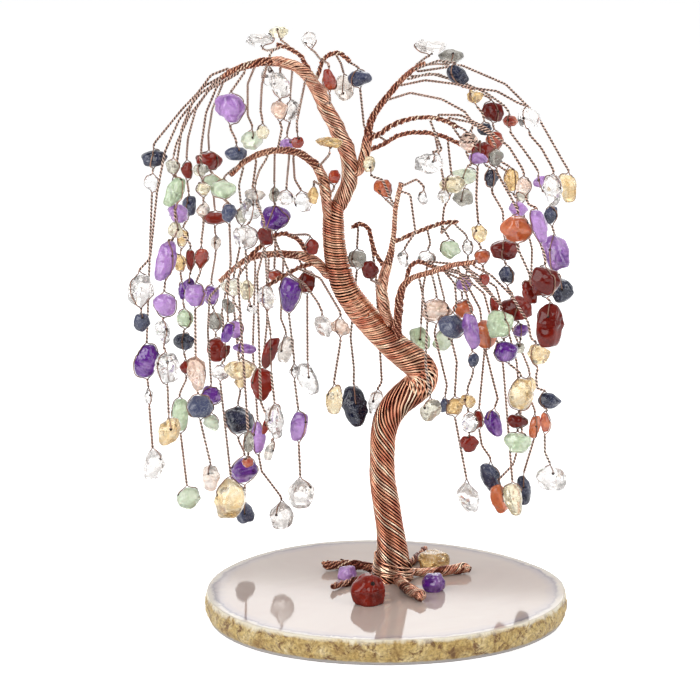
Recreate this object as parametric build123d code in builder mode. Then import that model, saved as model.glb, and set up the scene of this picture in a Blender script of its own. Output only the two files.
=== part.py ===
from build123d import *
from math import cos, pi, radians, sin
import os

# A gemstone tree: copper wires laid into a trunk and limbs, tumbled chips hung on twisted
# pairs of fine wire, all standing on a slice of agate. Millimetres and degrees, +Z up, front
# at -Y, origin at the middle of the slice's flat underside.

# The slice
slice_width = 100.5
slice_depth = 100.0
slice_thickness = 7.3
rind_inset = 1.6
polish_inset = 0.9

# The pad of glue under the foot
glue_thickness = 0.5

# The trunk
trunk_wire = 0.95
trunk_wire_count = 9
lay_length = 27.0
wire_clearance = 0.05

# The roots, the limbs and the twigs
root_lift = 0.1
twig_wire = 0.6
limb_clearance = 0.08
trunk_clearance = 0.18
chip_clearance = 0.2
neck_length = 1.7
neck_lean_share = 0.3
neck_room = 2.5

# How far the branches reach: the front view spans this height, seen from a raised eye
view_span = 177.8
eye_distance = 800.0
eye_aim_height = 76.4
eye_tilt = 12.0
eye_aim_across_share = -5.5
eye_aim_up_share = 50.1

# Counts of flat sides and of steps, and how far the first section is turned
trunk_sides = 10
limb_sides = 6
root_sides = 6
twig_sides = 4
lay_steps_per_turn = 7
seat_passes = 4
section_roll = 15.0

# Places and widths in the tables are in hundredths of the view's span
hundredth_share = 0.01
span_share = hundredth_share * view_span

# The slice's edge: its radius at even steps round from +X, as shares of half its width
slice_edge_shares = (
    1.0, 0.985, 0.965, 0.97, 0.985, 1.0, 0.99, 0.985,
    0.995, 1.01, 1.015, 1.0, 0.99, 0.995, 1.01, 1.015,
)

# A tumbled chip's outline, as shares of half its width and half its thickness
chip_corner_shares = ((1.0, 0.15), (0.3, 1.0), (-0.8, 0.75), (-0.95, -0.45), (0.2, -1.0))
chip_cap_share = 0.58
base_cap_share = 0.76
chip_belly_share = 0.06
chip_thickness_share = 0.78
chip_turn_step = 76.0

# The trunk's line: across, up and back in the front view, and its width, in hundredths
trunk_lower_shares = (
    (1.3, 14.3, 4.6, 6.2), (1.2, 18.1, 4.6, 5.3), (0.8, 22.0, 4.7, 4.5), (0.2, 26.0, 4.7, 4.5),
    (-0.4, 30.0, 4.6, 4.3), (-0.4, 34.0, 4.5, 4.2), (-0.2, 37.0, 4.4, 4.3),
    (0.5, 39.6, 4.2, 4.6), (2.0, 41.8, 4.0, 4.8),
)
trunk_elbow_shares = (
    (3.9, 43.4, 3.8, 5.0), (5.5, 44.8, 3.6, 5.1), (6.0, 46.3, 3.5, 5.1), (5.3, 47.6, 3.4, 5.0),
)
trunk_upper_shares = (
    (3.8, 48.9, 3.3, 4.9), (1.9, 50.4, 3.2, 4.7), (0.1, 52.1, 3.1, 4.6),
    (-1.8, 54.0, 3.0, 4.5), (-3.6, 56.0, 2.8, 4.3), (-5.2, 58.1, 2.6, 4.1),
    (-6.5, 60.3, 2.5, 4.0), (-7.2, 62.6, 2.4, 3.9), (-7.8, 65.4, 2.3, 3.7),
    (-8.1, 68.4, 2.2, 3.5), (-8.1, 71.6, 2.0, 3.2),
)

# The roots: across and up where they lie on the slice, and their width
root_shares = {
    "root_left_back": ((-2.6, 16.2, 1.5), (-5.6, 16.4, 1.7), (-9.6, 16.1, 1.7)),
    "root_left_front": ((-2.3, 14.1, 1.3), (-5.2, 13.7, 1.2), (-8.5, 12.8, 1.3)),
    "root_front_right": ((2.6, 12.9, 1.7), (4.2, 12.1, 1.9), (6.0, 11.3, 1.9)),
    "root_right": ((5.2, 15.2, 1.4), (8.6, 15.2, 1.6), (13.0, 15.9, 1.9)),
    "root_right_back": ((4.6, 17.0, 1.2), (5.6, 17.9, 1.2), (6.4, 18.9, 1.1)),
}

# The limbs: across, up, back and width
limb_shares = {
    "stem_limb": (
        (-7.6, 72.2, 2.9, 2.6), (-6.7, 74.0, 2.5, 2.8), (-5.6, 76.4, 1.6, 2.8),
        (-5.5, 79.2, 0.9, 2.8), (-6.1, 82.0, 0.6, 2.8), (-7.5, 85.0, 0.3, 2.7),
        (-9.2, 88.0, 0.1, 2.6), (-10.4, 90.8, 0.0, 2.4),
    ),
    "crown_limb": (
        (-11.0, 92.0, 0.0, 2.2), (-12.3, 93.6, -0.2, 2.1), (-14.0, 94.8, -0.5, 1.9),
        (-16.4, 95.5, -0.9, 1.8), (-19.0, 95.6, -1.4, 1.6), (-21.8, 94.9, -2.0, 1.4),
        (-24.0, 94.1, -2.5, 1.2), (-25.8, 93.0, -3.0, 1.0),
    ),
    "crown_spray": (
        (-12.0, 95.2, 1.2, 0.9), (-13.2, 96.4, 2.2, 0.9), (-15.0, 97.6, 3.2, 0.8),
        (-17.0, 98.2, 4.2, 0.7),
    ),
    "crown_right_limb": (
        (-10.6, 93.0, 1.6, 0.9), (-10.3, 94.2, 2.6, 0.9), (-9.9, 95.7, 3.2, 0.9),
        (-8.9, 96.7, 3.9, 0.8), (-7.2, 97.0, 4.6, 0.8), (-5.5, 95.6, 5.2, 0.7),
    ),
    "left_middle_limb": (
        (-9.1, 72.3, 0.8, 1.6), (-9.3, 74.7, 0.3, 1.9), (-9.7, 77.2, -0.1, 1.9),
        (-10.8, 79.2, -0.5, 1.7), (-13.0, 81.0, -1.7, 1.5), (-15.5, 81.6, -3.0, 1.4),
        (-18.0, 81.5, -4.2, 1.3), (-20.2, 80.9, -5.2, 1.2), (-22.3, 79.7, -6.2, 1.1),
        (-24.3, 77.6, -7.2, 0.9),
    ),
    "lower_left_limb": (
        (-9.6, 62.6, 2.6, 1.9), (-10.9, 64.0, 3.2, 1.9), (-12.8, 64.9, 4.0, 1.7),
        (-16.0, 65.2, 5.4, 1.5), (-19.0, 65.2, 6.8, 1.3), (-22.0, 64.3, 8.2, 1.2),
        (-24.0, 62.8, 9.2, 1.0), (-26.0, 60.9, 10.0, 0.9),
    ),
    "lower_left_arch": (
        (-12.0, 66.3, 2.6, 1.0), (-13.6, 67.6, 1.2, 1.0), (-15.8, 68.6, -0.6, 1.0),
        (-17.7, 68.1, -2.2, 1.0), (-19.5, 66.6, -3.8, 0.9), (-21.8, 64.4, -5.4, 0.8),
    ),
    "lower_left_twist": (
        (-12.2, 63.3, 2.4, 0.9), (-13.4, 63.2, 1.0, 0.9), (-15.0, 62.4, -0.8, 0.9),
        (-16.6, 61.4, -2.4, 0.8), (-18.6, 60.2, -4.0, 0.7),
    ),
    "right_stem": (
        (-3.7, 78.9, 1.0, 1.9), (-3.2, 80.8, 1.2, 1.9), (-2.8, 82.8, 1.5, 1.7),
        (-2.6, 84.7, 1.9, 1.6), (-2.1, 86.6, 2.3, 1.4), (-1.1, 88.2, 2.8, 1.3),
        (0.1, 89.7, 3.4, 1.3), (1.4, 91.3, 4.0, 1.2), (2.9, 93.0, 4.8, 1.1),
        (4.4, 94.3, 5.6, 1.0), (6.3, 95.3, 6.6, 0.8),
    ),
    "right_front_limb": (
        (-1.7, 83.4, 0.4, 1.1), (-0.8, 84.1, -0.4, 1.1), (0.7, 85.2, -1.6, 1.1),
        (2.6, 86.1, -3.0, 1.1), (4.7, 86.6, -4.4, 1.0), (7.0, 86.8, -6.0, 0.9),
        (9.2, 86.3, -7.4, 0.8), (11.4, 85.3, -8.8, 0.8),
    ),
    "right_back_limb": (
        (-1.9, 81.6, 2.4, 1.0), (-0.2, 82.6, 3.8, 1.0), (2.0, 83.9, 5.4, 1.0),
        (4.2, 84.4, 6.8, 0.9), (6.6, 84.4, 8.4, 0.9), (9.0, 83.9, 10.0, 0.8),
        (11.6, 82.7, 11.4, 0.8), (13.5, 81.4, 12.6, 0.7),
    ),
    "inner_limb": (
        (0.6, 55.6, 2.2, 2.2), (-0.1, 57.2, 1.7, 2.1), (-0.5, 59.2, 1.5, 2.0),
        (-0.3, 61.2, 1.3, 1.9), (0.3, 63.2, 1.1, 1.7), (0.9, 65.2, 0.8, 1.4),
        (1.3, 67.2, 0.5, 1.1), (1.5, 69.4, 0.2, 1.0), (1.6, 71.8, 0.0, 0.9),
        (2.0, 74.2, -0.3, 0.8), (2.6, 76.4, -0.6, 0.7),
    ),
    "inner_arch": (
        (-1.0, 63.9, 2.4, 0.9), (-1.7, 65.5, 2.9, 0.9), (-2.1, 67.3, 3.3, 0.9),
        (-2.5, 69.3, 3.7, 0.8), (-3.8, 70.1, 4.2, 0.8), (-5.2, 69.4, 4.8, 0.7),
    ),
    "inner_branch": (
        (2.2, 67.4, 1.5, 0.9), (4.3, 68.4, 2.8, 0.9), (6.8, 69.4, 4.2, 0.8),
        (9.2, 70.2, 5.6, 0.8), (11.5, 70.3, 6.8, 0.7),
    ),
    "right_lower_limb": (
        (2.6, 53.6, 1.2, 1.9), (2.2, 56.2, 0.6, 1.8), (2.3, 58.2, -0.3, 1.7), (2.8, 60.1, -1.0, 1.4),
        (4.0, 61.3, -1.9, 1.1), (5.5, 61.9, -2.8, 1.1), (7.2, 62.3, -3.8, 1.1),
        (9.0, 62.9, -5.0, 1.1), (11.2, 63.6, -6.4, 1.0), (14.2, 63.9, -8.0, 0.9),
    ),
    "right_lower_arch": (
        (3.5, 61.9, 0.4, 1.0), (3.8, 63.3, 1.2, 1.0), (5.0, 64.1, 2.3, 1.0),
        (6.3, 63.8, 3.5, 0.9), (7.8, 63.1, 4.8, 0.8), (10.0, 62.6, 6.4, 0.7),
    ),
}

# What each limb grows from
limb_parents = {
    "stem_limb": "trunk", "left_middle_limb": "trunk", "lower_left_limb": "trunk",
    "inner_limb": "trunk", "right_lower_limb": "trunk", "crown_limb": "stem_limb",
    "right_stem": "stem_limb", "crown_spray": "crown_limb", "crown_right_limb": "crown_limb",
    "lower_left_arch": "lower_left_limb", "lower_left_twist": "lower_left_limb",
    "right_front_limb": "right_stem", "right_back_limb": "right_stem",
    "inner_arch": "inner_limb", "inner_branch": "inner_limb",
    "right_lower_arch": "right_lower_limb",
}

# The twigs, limb by limb. Each starts at a place on its limb, ends that far back, and runs
# through bends (across, up) and chips (across, up, stone, width, height), in hundredths.
AMETHYST, CITRINE, JASPER = "amethyst", "citrine", "red_jasper"
CARNELIAN, SODALITE, AVENTURINE = "carnelian", "sodalite", "green_aventurine"
CLEAR, ROSE, SMOKY = "clear_quartz", "rose_quartz", "smoky_quartz"
stones = (AMETHYST, CITRINE, JASPER, CARNELIAN, SODALITE, AVENTURINE, CLEAR, ROSE, SMOKY)

twig_shares = {
    "crown_limb": (
        (-4, (-25.6, 93.1), (-29.0, 90.6), (-32.4, 86.4), (-34.6, 81.5), (-35.9, 75.0),
            (-37.0, 64.5), (-38.5, 59.4, CLEAR, 3.4, 4.8),
            (-38.3, 54.4, SODALITE, 2.2, 2.7)),
        (6, (-25.0, 93.5), (-28.4, 91.7), (-31.8, 88.2),
            (-36.4, 80.3, SODALITE, 3.4, 2.3), (-36.7, 76.4, CLEAR, 2.2, 2.2),
            (-37.5, 48.4, AMETHYST, 3.3, 4.8),
            (-37.2, 42.8, CLEAR, 1.3, 2.0), (-36.5, 32.0, CLEAR, 3.2, 4.6)),
        (-11, (-24.6, 93.7), (-27.6, 91.2), (-30.8, 87.0), (-32.9, 82.5),
            (-33.4, 79.0, SMOKY, 1.9, 1.8), (-33.2, 75.0, AVENTURINE, 2.8, 4.0),
            (-33.0, 69.0, CITRINE, 1.9, 2.2), (-34.6, 64.2, AMETHYST, 2.8, 5.4),
            (-34.8, 57.2, AMETHYST, 3.0, 3.2), (-35.1, 52.8, CLEAR, 2.0, 3.4),
            (-34.3, 47.3, CLEAR, 3.4, 4.2), (-34.0, 37.3, CITRINE, 2.8, 3.9)),
        (13, (-24.0, 94.1), (-27.2, 92.0), (-29.8, 88.0), (-31.0, 83.5),
            (-31.2, 78.4, JASPER, 1.4, 2.4), (-30.9, 72.8, SODALITE, 2.0, 3.0),
            (-31.9, 67.8, CITRINE, 1.5, 2.6), (-32.3, 63.9, CITRINE, 1.8, 2.4),
            (-31.9, 59.4, AMETHYST, 1.4, 2.4), (-31.5, 55.0, AVENTURINE, 2.2, 2.7),
            (-31.8, 51.4, SODALITE, 3.2, 2.4), (-31.3, 47.4, JASPER, 1.8, 2.0),
            (-32.3, 39.9, AVENTURINE, 2.5, 5.0),
            (-31.1, 26.8, AVENTURINE, 3.6, 3.3)),
        (-19, (-23.4, 94.3), (-26.4, 91.8), (-28.2, 87.4), (-28.9, 82.5),
            (-29.0, 78.4, SMOKY, 2.0, 1.8), (-28.6, 75.4, CITRINE, 1.8, 1.7),
            (-28.6, 72.2, ROSE, 1.6, 1.9), (-28.9, 64.5, CARNELIAN, 1.7, 3.0),
            (-29.9, 58.7, AMETHYST, 2.8, 3.1), (-29.8, 46.4, ROSE, 3.0, 4.4),
            (-29.2, 41.2, SODALITE, 3.3, 3.0), (-27.4, 29.9, ROSE, 2.4, 3.6)),
        (19, (-22.8, 94.6), (-25.4, 92.4), (-27.2, 88.0), (-27.8, 84.0),
            (-27.7, 79.9, JASPER, 3.6, 2.5), (-27.0, 76.6, AVENTURINE, 3.0, 2.2),
            (-26.8, 70.9, JASPER, 3.8, 1.7), (-26.7, 67.0, ROSE, 1.6, 2.0),
            (-27.3, 58.7, AMETHYST, 2.4, 3.0), (-26.7, 54.6, SMOKY, 2.4, 2.7),
            (-26.6, 50.1, JASPER, 2.7, 3.6)),
        (-1, (-24.7, 94.6), (-27.4, 93.4), (-29.9, 90.0), (-32.0, 85.0), (-33.0, 78.0),
            (-32.6, 71.5, AMETHYST, 2.8, 2.9), (-30.6, 64.2, JASPER, 1.6, 3.2),
            (-30.9, 60.4, AMETHYST, 1.6, 1.9), (-31.4, 56.5)),
        (-7, (-22.2, 94.2), (-23.9, 91.3), (-24.4, 88.2, AMETHYST, 3.8, 4.2),
            (-23.4, 81.0, SODALITE, 3.0, 2.0)),
        (8, (-20.4, 94.9), (-21.6, 92.0), (-21.6, 87.0), (-20.9, 83.1, AVENTURINE, 3.1, 2.8)),
        (-12, (-18.8, 95.0), (-19.4, 92.0), (-19.6, 88.0), (-19.2, 84.4, CITRINE, 1.8, 1.8)),
        (-5, (-16.6, 94.7), (-16.5, 91.8, CLEAR, 2.6, 3.6), (-16.7, 87.8, ROSE, 2.2, 2.4),
            (-16.2, 85.0)),
        (9, (-14.4, 94.2), (-14.9, 87.8, CLEAR, 2.8, 2.8),
            (-15.4, 82.4, AMETHYST, 2.1, 1.9)),
        (-9, (-12.5, 92.9), (-13.9, 86.0), (-13.8, 82.8, CARNELIAN, 1.6, 1.6)),
    ),
    "crown_spray": (
        (6, (-15.4, 97.7), (-16.0, 98.6), (-16.7, 100.2, CITRINE, 2.6, 1.6)),
        (9, (-16.6, 98.0), (-18.6, 97.2), (-19.6, 99.0, CLEAR, 3.8, 2.0)),
        (1, (-16.3, 97.7), (-17.8, 97.3), (-18.4, 95.9), (-18.4, 93.2, CLEAR, 1.8, 2.6)),
    ),
    "crown_right_limb": (
        (7, (-9.9, 95.9), (-11.2, 97.2), (-11.9, 99.0, CLEAR, 2.0, 2.4)),
        (-4, (-9.6, 95.4), (-8.9, 95.2), (-8.8, 92.7, CARNELIAN, 1.9, 3.2), (-8.6, 89.0)),
        (9, (-7.5, 96.9), (-6.9, 95.2), (-6.4, 91.4, ROSE, 2.9, 3.6), (-6.8, 87.5)),
        (8, (-5.5, 95.4), (-4.4, 94.8), (-3.9, 92.9, SODALITE, 3.3, 2.4),
            (-3.3, 85.2)),
    ),
    "left_middle_limb": (
        (-20, (-23.4, 78.6), (-25.2, 77.6), (-25.4, 75.4, AVENTURINE, 3.4, 2.4),
            (-24.5, 71.6, SODALITE, 2.0, 2.4), (-24.3, 64.0),
            (-24.8, 57.0, SMOKY, 1.8, 2.0), (-24.7, 52.8, AMETHYST, 1.7, 2.6)),
        (-3, (-22.6, 79.3), (-23.0, 76.0), (-22.6, 71.3, SMOKY, 1.9, 2.1), (-22.5, 68.0),
            (-23.9, 60.0, SMOKY, 3.4, 2.2), (-22.6, 55.8), (-23.4, 53.3, AMETHYST, 2.1, 2.6),
            (-22.1, 50.4, AMETHYST, 3.0, 1.6), (-22.9, 47.0, CITRINE, 4.2, 2.8)),
        (-9, (-20.6, 80.5), (-20.9, 72.5, CLEAR, 2.8, 3.3),
            (-22.0, 67.9, CLEAR, 3.0, 3.0), (-21.7, 59.6, CITRINE, 1.8, 2.8),
            (-20.9, 56.5, CLEAR, 1.5, 1.3)),
        (-20, (-18.8, 81.2), (-19.8, 78.4), (-20.4, 74.6, ROSE, 2.8, 1.6), (-19.4, 71.4),
            (-18.9, 68.0, JASPER, 2.0, 2.6), (-18.6, 58.4, CLEAR, 2.5, 3.2),
            (-18.0, 49.6, JASPER, 2.4, 4.4), (-17.3, 38.8, CLEAR, 2.5, 4.6),
            (-18.2, 34.2, ROSE, 1.4, 2.8)),
        (3, (-17.2, 81.0), (-17.4, 74.6, SMOKY, 1.6, 2.1),
            (-17.2, 71.0, AMETHYST, 4.0, 3.4), (-17.4, 61.8, CARNELIAN, 2.0, 1.5)),
        (-9, (-15.4, 80.9), (-15.5, 74.0, CLEAR, 2.4, 1.9)),
        (2, (-14.2, 80.6), (-14.2, 77.0), (-13.0, 73.4, CLEAR, 2.4, 2.7)),
        (-5, (-10.2, 79.6), (-8.7, 82.8, CITRINE, 3.6, 1.6)),
        (-4, (-10.2, 76.4), (-11.2, 76.8), (-11.2, 74.4, CITRINE, 1.5, 2.4)),
        (-2, (-9.3, 75.0), (-8.0, 75.4), (-8.0, 77.4, CARNELIAN, 1.6, 2.0)),
    ),
    "lower_left_limb": (
        (16, (-25.8, 61.1), (-27.6, 58.5), (-27.9, 53.0),
            (-27.3, 43.0, AMETHYST, 3.0, 2.7), (-27.4, 38.6, AVENTURINE, 2.2, 2.6)),
        (11, (-25.2, 61.7), (-25.7, 56.0), (-25.1, 49.8, JASPER, 1.3, 2.0),
            (-26.0, 46.6, CLEAR, 2.5, 2.0),
            (-24.2, 26.8, CITRINE, 4.2, 6.0)),
        (20, (-23.2, 63.4), (-23.9, 58.0), (-22.8, 45.0, CITRINE, 1.6, 1.6),
            (-23.1, 38.9, SODALITE, 4.1, 4.3), (-22.1, 31.2, AMETHYST, 4.0, 4.0),
            (-22.0, 24.4, SODALITE, 2.8, 3.2)),
        (14, (-20.8, 64.8), (-20.8, 50.0),
            (-20.0, 36.4, AMETHYST, 2.1, 4.8), (-19.4, 31.0), (-16.3, 24.0, CLEAR, 3.3, 4.2)),
        (9, (-18.4, 65.0), (-18.6, 54.0), (-19.3, 44.6, JASPER, 3.1, 5.2),
            (-19.0, 38.5)),
        (12, (-16.2, 65.0), (-16.4, 55.0), (-15.6, 50.2, ROSE, 2.3, 4.2)),
        (8, (-13.6, 64.8), (-12.9, 63.3), (-12.2, 60.8, JASPER, 2.6, 3.0),
            (-12.2, 45.6, CLEAR, 3.0, 4.8)),
    ),
    "lower_left_arch": (
        (-9, (-21.4, 64.8), (-23.2, 61.6),
            (-21.5, 35.6, SMOKY, 1.7, 2.8), (-21.6, 32.4, CARNELIAN, 1.6, 1.4)),
        (-15, (-19.4, 66.4), (-20.1, 62.0), (-19.6, 42.0),
            (-18.6, 38.2, JASPER, 1.2, 2.6)),
        (-9, (-17.6, 67.8), (-15.1, 58.9, AMETHYST, 3.0, 5.0),
            (-14.3, 46.8, CLEAR, 1.6, 1.6), (-13.6, 38.1, AMETHYST, 2.4, 4.2),
            (-13.3, 27.5, CLEAR, 3.7, 4.2)),
        (-4, (-15.0, 68.1), (-12.2, 68.3), (-11.4, 66.4, JASPER, 1.6, 2.2)),
    ),
    "lower_left_twist": (
        (-10, (-15.4, 62.1), (-12.6, 60.4), (-10.6, 57.6), (-9.7, 53.8, CLEAR, 2.4, 3.3)),
        (-13, (-13.8, 62.8), (-10.2, 61.4), (-7.0, 53.7, ROSE, 2.6, 2.5),
            (-8.0, 42.3, CITRINE, 2.2, 4.0)),
    ),
    "right_stem": (
        (9, (5.2, 94.8), (6.4, 96.2), (7.4, 98.0, CLEAR, 4.4, 2.2)),
        (14, (6.2, 95.3), (8.2, 95.2), (10.4, 96.4, SMOKY, 3.4, 2.2)),
        (2, (4.6, 94.2), (8.4, 95.7), (11.7, 93.4, SODALITE, 3.1, 3.0), (14.2, 91.3),
            (17.6, 90.9), (21.0, 89.0), (22.8, 86.6, CLEAR, 3.1, 3.0), (24.6, 82.0),
            (26.5, 75.2, CLEAR, 2.6, 4.4)),
        (7, (3.2, 93.2), (7.0, 93.7), (12.4, 92.2), (16.0, 90.6), (18.8, 88.6),
            (19.8, 86.2, CARNELIAN, 2.1, 1.6), (21.6, 82.0), (23.6, 79.2),
            (24.4, 76.6, AMETHYST, 1.8, 1.8), (25.8, 74.6), (26.2, 71.4, SODALITE, 1.8, 2.6),
            (26.8, 65.4, AMETHYST, 3.8, 5.2), (28.0, 59.4, SODALITE, 2.8, 3.6)),
        (-3, (2.0, 91.9), (6.4, 92.6), (11.0, 92.0), (14.2, 90.0, CITRINE, 2.2, 1.9),
            (15.4, 87.4), (15.7, 84.9, SODALITE, 1.9, 1.7)),
        (13, (3.8, 93.8), (8.4, 93.6), (16.4, 89.9),
            (17.0, 87.6, JASPER, 3.0, 2.9), (17.2, 83.1, CARNELIAN, 2.3, 2.8), (18.2, 79.8),
            (20.0, 76.9, CITRINE, 2.1, 3.4), (21.0, 72.3, AMETHYST, 2.8, 2.2)),
        (17, (5.0, 94.6), (12.0, 95.0), (19.0, 92.0), (24.0, 87.0), (27.4, 81.0),
            (28.7, 75.6, CITRINE, 2.4, 4.2)),
        (-6, (0.2, 89.5), (4.0, 90.6), (9.0, 89.6), (12.6, 87.6), (14.0, 85.6),
            (13.4, 82.9, ROSE, 2.6, 2.6)),
    ),
    "right_front_limb": (
        (-12, (10.8, 85.6), (12.6, 84.8), (13.9, 83.0), (14.6, 80.3, AMETHYST, 2.6, 1.6),
            (14.4, 74.0), (14.7, 68.4, CITRINE, 2.2, 2.4),
            (15.3, 64.8, CARNELIAN, 1.9, 1.8), (15.7, 61.2, CARNELIAN, 1.4, 1.6)),
        (-17, (9.8, 86.1), (13.4, 86.0), (16.4, 84.2), (17.6, 80.4, SMOKY, 1.9, 2.2),
            (20.9, 69.2, CARNELIAN, 4.2, 3.6),
            (22.8, 59.2, JASPER, 2.0, 3.2)),
        (-4, (10.6, 85.2), (12.4, 82.8), (15.6, 81.2, JASPER, 3.3, 3.0),
            (16.9, 77.2, SODALITE, 2.0, 2.4), (18.6, 72.0), (18.8, 65.8, JASPER, 3.8, 2.8),
            (19.2, 62.0, SODALITE, 2.2, 2.4), (19.4, 59.6), (20.4, 56.8, JASPER, 4.3, 3.4),
            (21.4, 53.2, AMETHYST, 2.1, 1.8), (21.3, 50.4, SMOKY, 1.5, 1.6)),
        (-20, (8.4, 86.3), (12.0, 87.1), (16.0, 85.0), (19.6, 82.0), (21.7, 78.6),
            (22.0, 76.0, ROSE, 2.0, 2.0), (22.6, 73.0), (24.4, 69.6, AMETHYST, 2.4, 4.6),
            (25.2, 65.0), (25.2, 60.8, JASPER, 3.8, 4.2), (26.0, 58.0),
            (26.0, 54.0, JASPER, 3.5, 6.0)),
        (-9, (7.4, 86.5), (9.0, 81.5), (7.0, 79.4, CLEAR, 3.6, 3.0)),
    ),
    "right_back_limb": (
        (15, (13.2, 81.6), (13.8, 79.4), (12.6, 77.4, AVENTURINE, 3.4, 2.6),
            (12.4, 74.0, SMOKY, 2.8, 2.6), (12.2, 70.0)),
        (19, (12.4, 82.2), (15.8, 80.6), (21.6, 74.6, SMOKY, 1.7, 2.0), (23.2, 66.0), (22.9, 57.0)),
        (10, (10.2, 83.4), (10.5, 76.2, CITRINE, 3.6, 2.6), (9.3, 72.6),
            (8.9, 68.4)),
        (4, (8.0, 84.1), (9.2, 76.8), (9.2, 74.2, CLEAR, 1.6, 2.0)),
    ),
    "inner_limb": (
        (-4, (2.6, 76.2), (5.0, 77.0), (6.2, 75.8), (6.0, 74.0, CLEAR, 1.4, 1.8)),
        (3, (1.8, 72.4), (0.6, 73.4), (-0.2, 75.6, CARNELIAN, 2.4, 2.6)),
        (-4, (2.3, 75.2), (4.0, 74.6), (4.8, 68.6), (3.5, 66.8), (2.9, 64.4, CLEAR, 1.5, 2.2)),
        (-1, (1.7, 73.2), (-0.4, 77.0), (-2.0, 77.4), (-2.5, 79.4, CITRINE, 1.6, 2.2)),
        (-2, (-0.7, 60.8), (-1.9, 61.0), (-2.4, 62.8, JASPER, 2.2, 2.6)),
    ),
    "inner_arch": (
        (7, (-4.4, 69.6), (-4.4, 64.4, SMOKY, 2.6, 2.6),
            (-5.4, 52.0), (-4.9, 47.5), (-4.9, 41.3, SODALITE, 3.7, 5.8)),
        (8, (-2.3, 68.0), (-1.4, 62.0), (-0.5, 45.0), (-1.4, 41.8, CLEAR, 2.2, 3.4)),
    ),
    "inner_branch": (
        (10, (11.2, 70.2), (12.7, 68.4), (13.1, 66.4, CLEAR, 1.5, 1.8), (13.2, 63.0),
            (12.6, 60.6, AMETHYST, 2.3, 2.2), (12.0, 59.2), (12.3, 56.6, CARNELIAN, 2.7, 2.8)),
        (5, (9.0, 69.8), (9.8, 68.2), (10.4, 65.9, AVENTURINE, 2.8, 2.6)),
        (8, (6.8, 69.0), (7.2, 66.8), (6.6, 64.6, CLEAR, 2.6, 1.8), (6.0, 60.0),
            (5.7, 52.0, AVENTURINE, 3.0, 3.4)),
    ),
    "right_lower_limb": (
        (-10, (13.0, 63.7), (14.2, 61.2), (18.3, 54.2, AVENTURINE, 3.4, 3.8),
            (19.1, 49.9, AMETHYST, 3.2, 2.8), (21.4, 43.1, CITRINE, 3.2, 4.6),
            (20.9, 38.9, JASPER, 2.8, 2.0), (20.9, 35.5, AVENTURINE, 3.4, 3.0)),
        (-15, (14.0, 63.9), (16.6, 62.0), (20.0, 58.6), (22.6, 54.4), (23.0, 51.8),
            (24.2, 49.4, CITRINE, 3.1, 3.0), (23.8, 46.0), (24.0, 44.0),
            (25.7, 42.2, SODALITE, 3.2, 2.2), (25.2, 38.7, CARNELIAN, 1.4, 2.8), (25.2, 34.0),
            (26.2, 29.9, CLEAR, 4.0, 3.4)),
        (-6, (12.4, 63.4), (15.4, 60.6), (17.2, 57.2, JASPER, 1.3, 2.2),
            (15.8, 52.6, CARNELIAN, 3.2, 4.0), (16.6, 47.0), (17.8, 42.4),
            (17.1, 38.6, AMETHYST, 2.4, 3.8)),
        (-13, (11.6, 63.4), (13.6, 56.4), (13.6, 53.0, AMETHYST, 2.4, 5.0),
            (13.9, 48.5, SODALITE, 1.5, 1.9), (13.0, 42.0, CITRINE, 2.2, 2.0),
            (13.2, 38.7, CLEAR, 2.2, 2.6), (13.3, 35.3, JASPER, 2.5, 2.4)),
        (-8, (9.4, 62.7), (11.0, 60.6), (11.3, 57.0), (10.4, 53.8, SODALITE, 3.4, 3.2),
            (11.3, 48.4), (11.0, 41.2, CITRINE, 2.1, 2.4), (12.9, 26.9, CLEAR, 3.1, 4.8)),
        (-1, (7.4, 61.9), (8.0, 59.6), (8.2, 56.3, ROSE, 3.8, 3.2), (7.8, 52.6),
            (9.8, 44.6), (9.4, 41.4, SODALITE, 1.5, 2.0)),
        (-5, (5.4, 61.5), (6.7, 55.0), (6.4, 48.0), (7.2, 40.6, SMOKY, 3.0, 3.4)),
    ),
    "right_lower_arch": (
        (12, (9.8, 62.5), (12.6, 61.0), (15.0, 56.6), (15.7, 50.0),
            (14.8, 39.2, JASPER, 1.3, 2.6), (15.3, 35.0), (16.6, 29.9, SODALITE, 3.1, 4.8)),
        (9, (8.6, 62.7), (9.4, 58.0), (9.1, 51.6, AVENTURINE, 2.8, 3.0)),
        (16, (9.2, 62.8), (14.0, 61.6), (18.6, 57.0), (22.6, 47.4),
            (22.9, 44.2, CITRINE, 2.0, 3.2), (23.6, 38.0, CARNELIAN, 1.7, 3.4),
            (21.7, 28.0, SODALITE, 2.4, 4.8)),
        (6, (7.6, 63.0), (11.4, 62.6), (15.6, 59.0), (18.6, 48.0),
            (20.1, 26.6, CITRINE, 2.8, 4.6)),
        (10, (6.6, 63.5), (12.0, 63.6), (17.6, 60.0), (20.8, 48.0), (21.6, 37.0), (20.2, 32.0),
            (18.0, 26.6, CARNELIAN, 2.6, 4.8)),
    ),
}

# The chips glued on the slice: across and up of their middles, stone, width and height
base_chip_shares = (
    ("base_chip_red_jasper", -2.8, 12.2, JASPER, 4.9, 4.2),
    ("base_chip_amethyst_left", -6.0, 15.0, AMETHYST, 2.6, 1.9),
    ("base_chip_amethyst_right", 7.6, 13.4, AMETHYST, 3.0, 2.6),
    ("base_chip_citrine", 7.6, 16.9, CITRINE, 5.0, 2.6),
)

# The eye stands in front and above, and looks down
eye_forward = Vector(0, cos(radians(eye_tilt)), -sin(radians(eye_tilt)))
eye_upward = Vector(0, sin(radians(eye_tilt)), cos(radians(eye_tilt)))


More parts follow.
